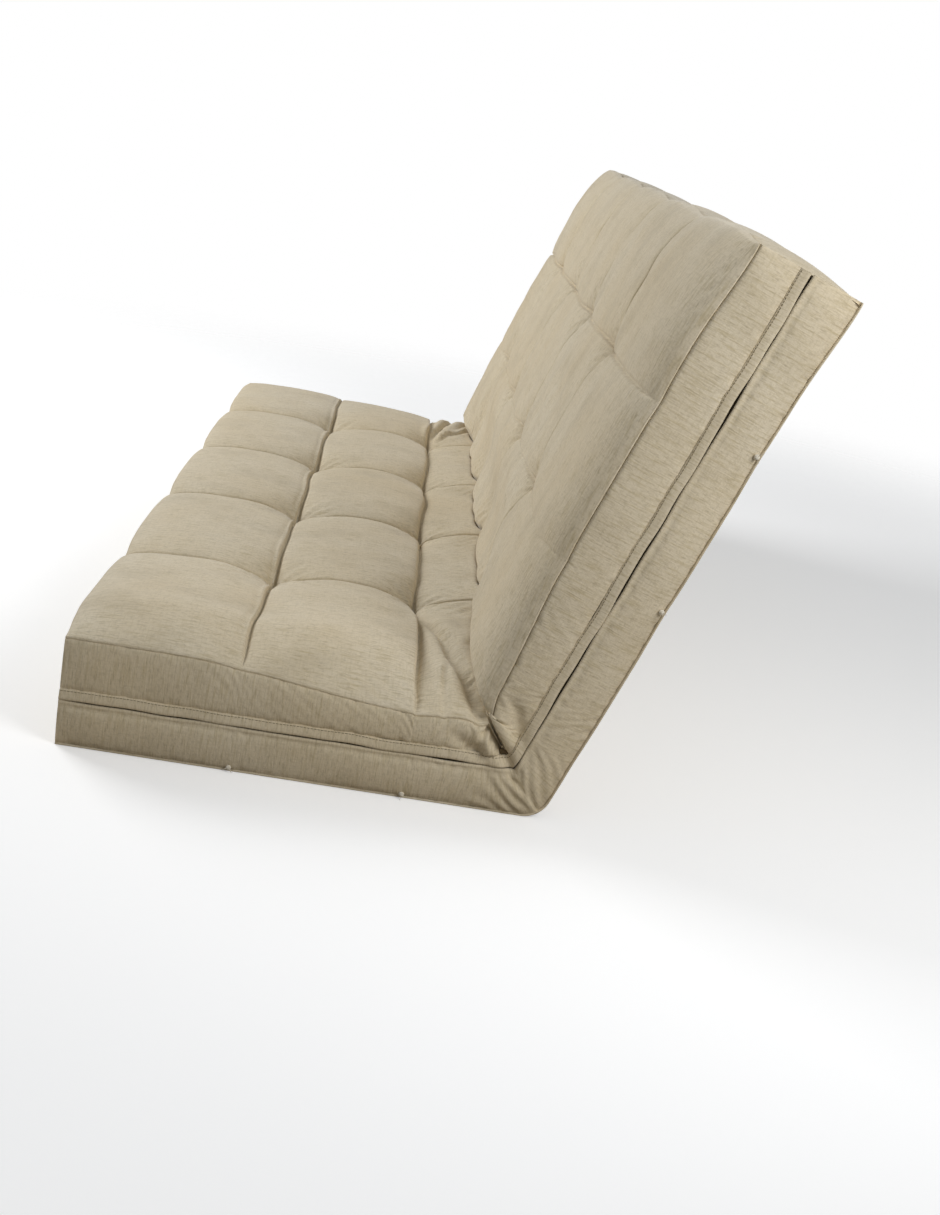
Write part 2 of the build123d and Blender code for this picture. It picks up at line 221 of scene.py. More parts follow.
def biscuits(half, u, q):
    """Height of the plain biscuits over the face seam, and the distances from a tuft and from its lines."""
    du, dq = nearest(u, COLUMNS), nearest(q, half.lines)
    last = (half.lines[1] - half.lines[2]) / 2 if half is SEAT else BISCUIT_Q
    wide = np.where(q < half.lines[1], last, BISCUIT_Q)
    full = (wide / BISCUIT_Q) ** 0.5
    over_u, over_q = arch(du, BISCUIT_U), arch(dq, wide)
    along_row = 1 - (1 - np.clip(du / (COLUMN_PITCH / 2), 0, 1)) ** half.pit
    along_column = 1 - (1 - np.clip(dq / wide, 0, 1)) ** (half.pit - 0.4)
    row_ridge, column_ridge = (1 - (1 - half.ridge) * strength for strength in line_strength(half, q))
    share = (1 - over_q) * along_row * row_ridge + (1 - over_u) * along_column * column_ridge
    share = (share + over_u * over_q) * full
    reach = np.hypot(du, dq)
    return half.tuft + (half.crown - half.tuft) * share, reach, du, dq


def end_drop(half, q, end):
    """How far the face comes down at both ends, where the fill is soft and the fold squeezes it."""
    drops = sum(amount * smooth((place - q) / over) for amount, place, over in half.end_drops)
    return drops * np.exp(-end / 0.090)


# Depths of what is sewn or pulled into the face
GROOVE = 0.0042                      # along the lines of tufts
SLIT_DEPTH, SLIT_FADE = 0.0030, 0.0007   # the pinched slit in the middle of a groove, and how fast it closes
PLEATS, PLEAT_DEPTH = 9, 0.0011      # small pleats round each tuft
UNEVEN = 0.0012                      # slack and lumps of the fill


def face_relief(half, u, q):
    """Height of the tufted face over its plain path, for each u and unrolled distance q."""
    height, reach, du, dq = biscuits(half, u, q)
    end = HALF_LENGTH - EDGE_IN - np.abs(u)
    outer = half.outer - q
    if half is SEAT:
        over = 1 - (1 - np.clip(end / 0.11, 0, 1)) ** 2
        rim = np.where(u > 0, over ** 0.85 * (1 + 0.26 * bell(end - 0.115, 0.065)),
                       arch(end, 0.150) ** 1.2 * (1 - 0.12 * np.exp(-end / 0.2)))
        rim *= arch(outer, 0.100) ** 0.8
    else:
        rim = np.where(u > 0, arch(end, 0.105), arch(end, 0.140) ** 1.3) * arch(outer, 0.115)
        middle = smooth((u - COLUMNS[0]) / 0.05) * smooth((COLUMNS[-1] - u) / 0.05)
        rim *= 1 - 0.50 * middle * smooth((0.27 - q) / 0.11)       # sat against, the low middle is flatter
    shape = height * rim
    # fine pinched grooves along the lines, deeper towards the tufts
    row_pull, column_pull = line_strength(half, q)
    above = offset(q, half.lines)
    lap = np.where(above > 0, above / 0.0080, -above / 0.0026) if half is BACK else dq / 0.0030
    along = GROOVE * np.exp(-lap) + SLIT_DEPTH * np.exp(-dq / SLIT_FADE)
    across = GROOVE * np.exp(-du / 0.0034) + SLIT_DEPTH * np.exp(-du / SLIT_FADE)
    groove = along * (0.6 * row_pull + bell(du, 0.09)) * np.minimum(1, end / 0.02)
    groove += across * (0.6 * column_pull + bell(dq, 0.08)) * np.minimum(1, outer / 0.02)
    if half is SEAT:
        # the outer row's seam lies in a double fold
        beside = q - half.rows[0] + 0.0015 * ripple(u, 9, 0.1, 0.3, 3)
        double = smooth(du / 0.020) * smooth(end / 0.10) * (0.7 + 0.3 * ripple(u, 14, 0.2, 0.5, 3))
        shape += 0.0026 * double * (bell(beside - 0.0050, 0.0030) - 0.9 * bell(beside - 0.0100, 0.0026))
    angle = np.arctan2(above, offset(u, COLUMNS))
    pleats = np.cos(PLEATS * angle + 3 * ripple(u, half.seed + 5, 0.3, 0.8)) * np.clip(reach / 0.012, 0, 1)
    shape -= groove - PLEAT_DEPTH * pleats * bell(reach, 0.034)
    shape += (UNEVEN * rim * ripple(u + 0.6 * q, half.seed, 0.09, 0.24)
              * ripple(q - 0.4 * u, half.seed + 1, 0.08, 0.2))
    # the sewn edge itself dips at each line of tufts
    shape -= (0.0045 if half is SEAT else 0.0030) * bell(du, 0.024) * np.exp(-np.maximum(outer, 0) / 0.040)
    shape -= 0.0015 * bell(dq, 0.020) * np.exp(-np.maximum(end, 0) / 0.040)
    return shape + end_gathers(half, u, q, end)


# Folds of the seat's cloth beyond its last tufts: from one point to another, each as the distance beyond the
# column of tufts and from the fold, then how far the fold bows aside, its width and its depth.
FAR_FOLDS = ((0.02, 0.154, 0.385, 0.104, -0.003, 0.0065, 0.0110),
             (0.02, 0.146, 0.190, 0.080, 0.000, 0.0060, 0.0070),
             (0.05, 0.160, 0.300, 0.146, 0.000, 0.0050, 0.0030),
             (0.10, 0.118, 0.385, 0.082, 0.003, 0.0060, 0.0045))
NEAR_FOLDS = ((0.05, 0.148, 0.385, 0.088, -0.005, 0.0080, 0.0105),
              (0.06, 0.090, 0.200, 0.090, 0.003, 0.0060, 0.0045),
              (0.27, 0.127, 0.385, 0.124, 0.001, 0.0035, 0.0045))


def end_gathers(half, u, q, end):
    """Folds of the face at both ends of the crease: they fan out from the last tuft towards it."""
    folds = np.zeros(u.shape)
    for side, lines in ((-1, FAR_FOLDS), (1, NEAR_FOLDS)):
        here = np.sign(u) == side
        out = np.abs(u) - abs(COLUMNS[0])
        if half is SEAT:
            for out_0, q_0, out_1, q_1, bow, width, depth in lines:
                run = np.hypot(out_1 - out_0, q_1 - q_0)
                along = ((out - out_0) * (out_1 - out_0) + (q - q_0) * (q_1 - q_0)) / run
                off = ((out - out_0) * (q_1 - q_0) - (q - q_0) * (out_1 - out_0)) / run
                off -= 4 * bow * (along / run) * (1 - along / run)
                off += 0.0020 * ripple(along, int(1000 * q_1), 0.10, 0.25, 3)
                window = smooth(along / (0.25 * run)) * smooth((run - along) / 0.025 + 0.5)
                window *= 1 if side < 0 else 0.35 + 0.65 * smooth(end / 0.06)
                fold = 0.7 * bell(off + 2 * width, 1.7 * width) + 0.5 * bell(off - 2 * width, 1.7 * width)
                folds += here * depth * window * (fold - bell(off, 0.8 * width))
            if side > 0:       # at the near end the seat's cloth laps over along the inner row of tufts
                off = q - half.rows[1]
                lap = 0.0020 * np.exp(-np.maximum(off, 0) / 0.007) * smooth(off / 0.002 + 0.5)
                lap -= 0.0070 * np.exp(-np.maximum(-off, 0) / 0.018) * smooth(-off / 0.002 + 0.5)
                folds += here * lap * smooth(out / 0.06) * (0.25 + 0.75 * smooth(end / 0.06))
        squeezed = smooth((0.20 - q) / 0.12) * bell(end, 0.11) * smooth(end / 0.02)
        folds += here * 0.0012 * squeezed * ripple(u + 0.25 * q, 62 + side, 0.028, 0.060, 4)
    return folds


def crease_wander(u):
    """How far the crease leans over the seat: it runs back between the back's biscuits, at each column."""
    wander = -0.012 - 0.018 * bell(nearest(u, COLUMNS), 0.060) + 0.0015 * ripple(u, 12, 0.07, 0.2)
    return wander * (0.85 + 0.25 * u / HALF_LENGTH) * np.minimum(1, (HALF_LENGTH - np.abs(u)) / 0.28)


def clear_of_crease(half, local, u):
    """Keeps a half's points on its own side of the wandering surface where the two halves press together."""
    across = np.array([-math.cos(LEAN), math.sin(LEAN)])
    y, z = local[..., 1], local[..., 2] - FOLD_Z
    over = y * across[0] + z * across[1]
    rise = y * math.sin(LEAN) + z * math.cos(LEAN) - CREASE_FLOOR
    lean = crease_wander(u)[:, None] * smooth(rise / 0.030)
    local = local.copy()
    local[..., 1:] += (np.minimum(over, half.side * lean - 0.0013) - over)[..., None] * across
    return local


def wandered(half, u, q):
    """Grid positions, with the lines between the tufts a little crooked, as pulled cloth leaves them."""
    u, q = np.meshgrid(u, q, indexing="ij")
    off_row, off_column = 1 - bell(nearest(q, half.lines), 0.040), 1 - bell(nearest(u, COLUMNS), 0.040)
    inside = smooth((half.outer - q) / 0.05) * smooth((q - half.inner) / 0.05)
    within = smooth((HALF_LENGTH - EDGE_IN - np.abs(u)) / 0.05)
    shift_u, shift_q = np.zeros(u.shape), np.zeros(u.shape)
    for i, column in enumerate(COLUMNS):
        shift_u += 0.0022 * ripple(q, half.seed + 20 + i, 0.12, 0.40) * bell(u - column, 0.05)
    crooked = 0.0018 if half is SEAT else 0.0026
    for i, row in enumerate(half.rows):
        shift_q += crooked * ripple(u, half.seed + 30 + i, 0.12, 0.40) * bell(q - row, 0.04)
    pulled = 0.0
    if half is SEAT:       # the slack strip beside the fold lets the row of tufts draw away from it
        pulled = 0.015 * bell(q - half.rows[1], 0.060) * (1 - 0.9 * smooth((u - COLUMNS[-1]) / 0.38))
    return u + shift_u * off_row * inside, q + shift_q * off_column * within + pulled


def edge_swell(u):
    """How far the sewn edges along the length bow out between the lines of tufts."""
    return (1 - bell(nearest(u, COLUMNS), 0.070)) * smooth((HALF_LENGTH - np.abs(u)) / 0.10)


def face_target(lines_u, lines_q):
    """The face panel's grid, from the seat's front edge through the crease to the back's top edge."""
    sheets = []
    for half in HALVES:
        q_lines = lines_q[half.name]
        plain_u, plain_q = np.meshgrid(lines_u, q_lines, indexing="ij")
        u, q = wandered(half, lines_u, q_lines)
        y, z, out_y, out_z = half.path(q)
        relief = face_relief(half, plain_u, plain_q)
        relief = np.where(q < half.bend_end, np.maximum(relief, -0.010), relief)
        end = HALF_LENGTH - EDGE_IN - np.abs(plain_u)
        swell = 0.007 * edge_swell(plain_u) * np.exp(-np.maximum(half.outer - plain_q, 0) / 0.06)
        drop = end_drop(half, plain_q, end) * smooth((plain_q - half.inner) / 0.05)
        down_crease = math.tan(LEAN) * smooth((half.bend_start + 0.06 - plain_q) / 0.10)
        reach = 0.060 if half is SEAT else 0.130
        fading = smooth((half.bend_start + reach - plain_q) / (reach + 0.02))
        lean = half.side * crease_wander(plain_u) * fading
        lean *= smooth((plain_q - half.inner) / 0.03)
        local = np.stack([u, y + out_y * relief + swell - drop * down_crease - lean * math.cos(LEAN),
                          z + out_z * relief - drop + lean * math.sin(LEAN)], -1)
        sheets.append(half.to_row(clear_of_crease(half, local, lines_u)))
    return np.concatenate(sheets, 1)


# ---- cloth ---------------------------------------------------------------------------------------
DAMPING = 0.86                       # share of its speed that a point keeps from step to step
FILL_HOLD = 0.030                    # share of the way back to the fill's shape that a point goes each step


def pull(a, b, rest, give, push):
    """Moves pairs of points until they are nearly rest apart. push is how firmly they resist closing."""
    d = b - a
    length = np.sqrt((d * d).sum(-1)) + 1e-9
    change = (length - rest) / length
    change = np.where(change > 0, change * give, change * push) * 0.5
    d *= change[..., None]
    a += d
    b -= d


def grid_normals(p):
    return unit(np.cross(np.gradient(p, axis=0), np.gradient(p, axis=1)), 1e-12)


def settle(target, slack_u, slack_q, hold, held, rounds, keep_apart=None, bend=0.08, seed=1):
    """Lets a grid of cloth, cut a little larger than the shape that it covers, wrinkle over that shape.

    slack_u and slack_q are the spare cloth along each direction, hold how firmly the fill supports it, and
    held the points that are sewn down.
    """
    t = target.astype(np.float32)
    rest_u = np.linalg.norm(np.diff(t, axis=0), axis=-1) * (1 + (slack_u[1:] + slack_u[:-1]) / 2)
    rest_q = np.linalg.norm(np.diff(t, axis=1), axis=-1) * (1 + (slack_q[:, 1:] + slack_q[:, :-1]) / 2)
    diagonal = np.sqrt(rest_u[:, 1:] ** 2 + rest_q[1:] ** 2)
    two_u, two_q = rest_u[1:] + rest_u[:-1], rest_q[:, 1:] + rest_q[:, :-1]
    rng = np.random.default_rng(seed)
    p = t + grid_normals(t) * rng.normal(0, 0.0005, t.shape[:2])[..., None].astype(np.float32)
    p[held] = t[held]
    last = p.copy()
    for step in range(rounds):
        speed = (p - last) * DAMPING
        last = p.copy()
        p += speed + hold[..., None] * (t - p)
        turned = p.swapaxes(0, 1)
        threads = ((p[:-1], p[1:], rest_u, 0.9, 0.6), (turned[:-1], turned[1:], rest_q.T, 0.9, 0.6),
                   (p[:-1, :-1], p[1:, 1:], diagonal, 0.35, 0.20),
                   (p[:-1, 1:], p[1:, :-1], diagonal, 0.35, 0.20))
        bends = ((p[:-2], p[2:], two_u, 0.0, bend), (turned[:-2], turned[2:], two_q.T, 0.0, bend))
        for _ in range(2):
            for springs, stride in ((threads, 2), (bends, 4)):     # a stride apart, none share a point
                for first in range(stride):
                    every = slice(first, None, stride)
                    for a, b, rest, give, push in springs:
                        pull(a[every], b[every], rest[every], give, push)
            p[held] = t[held]
        if keep_apart is not None and step % 4 == 3:
            p = keep_apart(p).astype(np.float32)
            p[held] = t[held]
    return p.astype(float)


def face_cloth(lines_u, lines_q, relaxed=True):
    """The face panel with its wrinkles."""
    target = face_target(lines_u, lines_q)
    if not relaxed:
        return target
    split = len(lines_q["seat"])
    shape = target.shape[:2]
    near_tuft, squeezed, crisp = (np.zeros(shape) for _ in range(3))
    on_line = np.zeros(shape, bool)
    for half, part in parts_of(split):
        u, q = np.meshgrid(lines_u, lines_q[half.name], indexing="ij")
        du, dq = nearest(u, COLUMNS), nearest(q, half.lines)
        near_tuft[:, part] = bell(np.hypot(du, dq), 0.060)
        crisp[:, part] = np.exp(-np.minimum(du, dq) / 0.008) * smooth(np.hypot(du, dq) / 0.03)
        on_line[:, part] = (np.minimum(du, dq) < 1e-6) & (q > half.bend_end)
        squeezed[:, part] = smooth((0.20 - q) / 0.12)
    held = on_line.copy()
    held[[0, -1]] = True
    held[:, [0, -1, split - 1, split]] = True
    ends = np.exp(-(HALF_LENGTH - np.abs(lines_u[:, None])) / 0.060)
    slack_u = 0.006 + 0.045 * near_tuft + 0.010 * squeezed
    slack_q = 0.007 + 0.035 * near_tuft + 0.006 * squeezed + 0.008 * ends

    def keep_apart(p):
        return np.concatenate([half.to_row(clear_of_crease(half, half.to_local(p[:, part]), lines_u))
                               for half, part in parts_of(split)], 1)

    return settle(target, slack_u, slack_q, FILL_HOLD + 0.22 * crisp, held, 100, keep_apart)


# ---- meshes --------------------------------------------------------------------------------------
def mesh_object(name, points, faces, cloth=None):
    """A smooth-shaded mesh. Its attribute cloth keeps each point's place on the flat cloth, in metres."""
    mesh = bpy.data.meshes.new(name)
    points = np.asarray(points, float).reshape(-1, 3)
    faces = faces.tolist() if isinstance(faces, np.ndarray) else faces
    mesh.from_pydata([tuple(p) for p in points], [], faces)
    mesh.polygons.foreach_set("use_smooth", [True] * len(mesh.polygons))
    if cloth is not None:
        layer = mesh.attributes.new("cloth", "FLOAT_VECTOR", "POINT")
        layer.data.foreach_set("vector", np.asarray(cloth, np.float32).reshape(-1, 3).ravel())
    mesh.update()
    made = bpy.data.objects.new(name, mesh)
    bpy.context.scene.collection.objects.link(made)
    return made


def grid_faces(rows, columns, flip=False, start=0, closed=False):
    """Quads of a grid of points numbered from start. closed joins the last column to the first."""
    across = np.arange(columns if closed else columns - 1)
    after = (across + 1) % columns
    row = np.arange(rows - 1)[:, None] * columns + start
    a, b = (row + across).ravel(), (row + after).ravel()
    quads = np.stack([a, a + columns, b + columns, b], -1)
    return quads[:, ::-1] if flip else quads


def capped_rings(rings):
    """Points and faces of a closed form, from rings of points along it."""
    rows, columns = rings.shape[:2]
    first, last = list(range(columns)), list(range((rows - 1) * columns, rows * columns))
    return rings.reshape(-1, 3), grid_faces(rows, columns, closed=True).tolist() + [first, last[::-1]]


def joined(parts):
    """One set of points and faces out of several."""
    points, faces, start = [], [], 0
    for some_points, some_faces in parts:
        points.append(np.asarray(some_points).reshape(-1, 3))
        faces += [[int(i) + start for i in face] for face in some_faces]
        start += len(points[-1])
    return np.concatenate(points), faces


def tube(path, radius, sides=6):
    """Points and faces of a round thread along a path, with closed ends. radius may vary along it."""
    path = np.asarray(path, float)
    radius = np.broadcast_to(radius, len(path))
    along = unit(np.gradient(path, axis=0))
    side = unit(np.cross(along, (0.31, 0.22, 0.92)))     # any direction that no thread here runs along
    up = np.cross(along, side)
    a = np.linspace(0, 2 * math.pi, sides, endpoint=False)
    ring = np.cos(a)[None, :, None] * side[:, None] + np.sin(a)[None, :, None] * up[:, None]
    return capped_rings(path[:, None] + ring * radius[:, None, None])


def flat_cloth(points):
    """Each grid point's place on the flat cloth: lengths measured along both directions of the grid."""
    flat = np.zeros(points.shape)
    for axis, other in ((0, 1), (1, 0)):
        lengths = np.linalg.norm(np.diff(points, axis=axis), axis=-1).mean(other)
        place = np.concatenate([[0], np.cumsum(lengths)])
        flat[..., axis] = place[:, None] if axis == 0 else place[None]
    return flat


# ---- the outline that every piece of the cover shares --------------------------------------------
# how far out and down each row of a sewn edge lies, from the panel into its seam
ROLL = ((0.0003, 0.0004), (0.0001, 0.0014), (-0.0011, 0.0022), (-0.0028, 0.0026), (-0.0044, 0.0027))
SEAM = len(ROLL)
SLIT = 0.0012                        # half the width of the pinched slit along the lines of tufts


def base_path(half, q):
    """Points of the underside below each point of the face path, in the half's own frame."""
    arc = FOLD_Z * LEAN
    start = half.bend_start
    b = np.where(q >= start, q, start - (start - q) * (start + arc) / (start - half.inner))
    a = np.clip(-b / FOLD_Z, 0, LEAN)
    return np.where(b >= 0, b, -FOLD_Z * np.sin(a)), np.where(b >= 0, 0, FOLD_Z * (1 - np.cos(a)))


class Cover:
    """The cover's grids: the face and base panels with their sewn edges, which the bands then join."""

    def __init__(self, fine, coarse, relaxed):
        folded = [side * x for side in (-1, 1) for x in (0.70, 0.79, 0.88)]     # finer at the end folds
        folded += [x + away for x in COLUMNS for away in (-SLIT, 0, SLIT)]
        self.u = spaced(-HALF_LENGTH + EDGE_IN, HALF_LENGTH - EDGE_IN, folded, fine, coarse)
        self.q = {}
        plain, under = [], []
        for half in HALVES:
            marks = [x + away for x in half.rows for away in (-SLIT, 0, SLIT)]
            marks += [half.lines[2], half.bend_start, 0.130]
            lines = spaced(half.inner, half.outer, marks, fine, coarse)
            lines = lines[::-1] if half is SEAT else lines
            self.q[half.name] = lines
            for kept, (y, z) in ((plain, half.path(lines)[:2]), (under, base_path(half, lines))):
                kept.append(half.to_row(np.stack([np.zeros(len(y)), y, z], -1)))
        self.split = len(self.q["seat"])
        self.plain = np.concatenate(plain)         # the plain face's line across the fold
        self.under = np.concatenate(under)         # the underside's line, point for point
        self.inner_face = face_cloth(self.u, self.q, relaxed)
        self.face = self.sew_edges(self.inner_face, self.under - self.plain)
        self.base = self.make_base(fine, coarse, relaxed)

    def sew_edges(self, grid, fall):
        """Adds the rows that turn a panel's four edges into its seams. fall is the way that its sides run."""
        fall = fall.copy()
        for _ in range(12):
            fall[1:-1] = (fall[:-2] + 2 * fall[1:-1] + fall[2:]) / 4
        fall = unit(fall)
        crisp = np.where(np.arange(len(fall)) < self.split, 0.2, 0.8)     # the seat's end seams lie flatter
        self.sunk = -ROLL[-1][0] * np.pad(crisp, SEAM, mode="edge")       # depth of the end seams' grooves
        ends = [[grid[edge] + fall * drop + side * out * crisp[:, None] * (1, 0, 0) for out, drop in ROLL]
                for edge, side in ((0, -1), (-1, 1))]
        grid = np.concatenate([ends[0][::-1], grid, ends[1]])
        fallen = np.pad(np.zeros(len(grid) - 2 * SEAM), SEAM)
        fallen[:SEAM] = fallen[-SEAM:][::-1] = [drop for _, drop in ROLL][::-1]
        sides = [[grid[:, edge] + half.out * out + fall[edge] * np.maximum(drop - fallen, 0)[:, None]
                  for out, drop in ROLL] for edge, half in ((0, SEAT), (-1, BACK))]
        first, final = (np.array(side).transpose(1, 0, 2) for side in (sides[0][::-1], sides[1]))
        return np.concatenate([first, grid, final], 1)

    def face_of(self, half):
        """The face's points on one half, in that half's own frame."""
        return half.to_local(self.inner_face[:, dict(parts_of(self.split))[half]])

    def make_base(self, fine, coarse, relaxed):
        """The underside: flat on the deck, full between its tufts, with a cup at each rosette."""
        u = spaced(self.u[0], self.u[-1], COLUMNS, 1.6 * fine, 1.6 * coarse)
        grid = np.repeat(self.under[None], len(u), 0)
        grid[..., 0] = u[:, None]
        slope = np.gradient(self.under[:, 1:], axis=0)
        inward = unit(np.stack([-slope[:, 1], slope[:, 0]], -1))
        dist = distances(self.under)
        flat = np.where(dist < SEAT_DEPTH, dist, np.maximum(SEAT_DEPTH, dist - (dist[-1] - WIDTH)))
        du = nearest(u, COLUMNS)[:, None]
        dq = nearest(flat, [ROW_PITCH * (i + 1) for i in range(5)])[None]
        reach = np.hypot(du, dq)
        cup = 0.0085 * bell(reach, 0.021) + 0.0035 * bell(reach, 0.060)
        inside = (HALF_LENGTH - np.abs(u))[:, None], np.minimum(flat, WIDTH - flat)[None]
        rim = arch(inside[0], 0.10) * arch(inside[1], 0.10)
        lines = np.minimum(1, bell(du, 0.035) + bell(dq, 0.035))
        full = smooth((flat - SEAT_DEPTH) / 0.10)[None] * rim * 0.007 * (1 - 0.8 * lines)
        full = full + 0.008 * smooth((flat - SEAT_DEPTH - 0.56) / 0.195)[None] ** 2     # hangs over the deck
        grid[..., 1:] += inward[None] * (cup - full)[..., None]
        if relaxed:
            held = reach < 0.006
            held[[0, -1]] = True
            held[:, [0, -1]] = True
            slack = 0.004 + 0.060 * bell(reach, 0.055)
            on_deck = (self.under[:, 2] < 1e-6) & (np.arange(len(self.under)) < self.split)

            def stay_up(p):
                p[..., 2] = np.where(on_deck[None], np.maximum(p[..., 2], 0), p[..., 2])
                return p

            grid = settle(grid, slack, slack, np.full(grid.shape[:2], FILL_HOLD), held, 60, stay_up, seed=5)
        return self.sew_edges(grid, self.plain - self.under)


def crease_place(points):
    """How far each point is past the bisecting plane, towards the back, and how far out along it."""
    y, z = points[..., 1] - FOLD_Y, points[..., 2] - FOLD_Z
    return y * math.cos(LEAN) + z * math.sin(LEAN), -y * math.sin(LEAN) + z * math.cos(LEAN)


def end_folds(points, deep):
    """How far the end's cloth is tucked in by the fold: two valleys below the crease, and a ridge."""
    over, r = crease_place(points)
    tuck = deep * bell(over + 0.003, 0.0065) * smooth((r - 0.012) / 0.030)
    tuck += 0.45 * deep * bell(over - 0.026 - 0.25 * (r - 0.06), 0.0085) * smooth((r - 0.030) / 0.030)
    tuck += 0.35 * deep * bell(over + 0.030 + 0.35 * (r - 0.06), 0.0080) * smooth((r - 0.035) / 0.030)
    ridge = 0.30 * deep * (bell(over - 0.013, 0.009) + bell(over + 0.018, 0.010))
    ridge = ridge * smooth((r - 0.020) / 0.030)
    return (tuck - ridge) * smooth((0.135 - r) / 0.04)


def band_grid(top, bottom, height, outward, bulge, seed, gather=0.0, folds=0.0, sunk=None):
    """A band of cloth between two seams: top and bottom are rows of points, outward the fill's push.

    gather is the band's spare cloth along its length, folds the depth of its tucks at the crease, and sunk
    how far it stands out beyond its top seam right beside it.
    """
    count = int(height / (0.0045))
    v = np.linspace(0, 1, count)
    v -= 0.16 * np.sin(2 * math.pi * v) / (2 * math.pi)      # closer together beside the seams
    if sunk is not None:
        v = np.insert(v, 1, 0.0008 / np.linalg.norm(top - bottom, axis=-1).mean())
    shape = np.sin(math.pi * v) ** 0.5
    grid = top[:, None] * (1 - v)[None, :, None] + bottom[:, None] * v[None, :, None]
    s = distances(top)
    ends = np.minimum(1, np.minimum(s, s[-1] - s) / 0.03) ** 0.5
    soft = (1 + 0.22 * ripple(s, seed, 0.16, 0.42))[:, None]
    pucker = 0.0007 * ripple(s, seed + 2, 0.013, 0.034, 7)[:, None] * bell(np.minimum(v, 1 - v), 0.10)[None]
    push = (bulge * shape[None] * soft + pucker) * ends[:, None]
    push -= end_folds(grid, folds) * shape[None] ** 0.3
    if sunk is not None:
        push[:, 1:-1] += sunk[:, None] * (1 - v[1:-1]) ** 2
    grid = grid + outward * push[..., None]
    held = np.zeros(grid.shape[:2], bool)
    held[[0, -1]] = True
    held[:, [0, -1]] = True
    edge = np.exp(-np.minimum(v, 1 - v) / 0.10)[None]
    slack_u = 0.006 + 0.016 * edge + np.reshape(gather, (-1, 1))
    slack_v, hold = (np.full(grid.shape[:2], each) for each in (0.004, FILL_HOLD))
    return settle(grid, slack_u * np.ones(grid.shape[:2]), slack_v, hold, held, 80, seed=seed)


def stands_for(piece, nodes, body=None):
    """Puts a piece in the place of CAD nodes, on a body, or where none is given across the fold."""
    if nodes:
        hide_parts(*nodes)
    if body:
        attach(piece, body)
    else:
        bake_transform(piece)


# ---- materials -----------------------------------------------------------------------------------
def linear(hexcode):
    """An sRGB hex value as linear red, green, blue and alpha."""
    parts = [int(hexcode[i:i + 2], 16) / 255 for i in (0, 2, 4)]
    return tuple(c / 12.92 if c <= 0.04045 else ((c + 0.055) / 1.055) ** 2.4 for c in parts) + (1.0,)


def node(tree, kind, settings=None, links=None):
    """Adds a node, with its settings and values, and links its inputs."""
    made = tree.nodes.new(kind)
    for key, value in (settings or {}).items():
        if isinstance(key, int) or key in made.inputs:
            made.inputs[key].default_value = value
        else:
            setattr(made, key, value)
    for key, source in (links or {}).items():
        tree.links.new(source, made.inputs[key])
    return made


def new_material(name, roughness, **values):
    material = bpy.data.materials.new(name)
    material.use_nodes = True
    tree = material.node_tree
    tree.nodes.clear()
    shader = node(tree, "ShaderNodeBsdfPrincipled", {"Roughness": roughness, **values})
    node(tree, "ShaderNodeOutputMaterial", links={"Surface": shader.outputs["BSDF"]})
    return material, tree, shader


def ramp(tree, source, stops):
    made = node(tree, "ShaderNodeValToRGB", links={"Fac": source})
    elements = made.color_ramp.elements
    while len(elements) < len(stops):
        elements.new(0.5)
    for element, (place, colour) in zip(elements, stops):
        element.position = place
        element.color = colour
    return made.outputs["Color"]


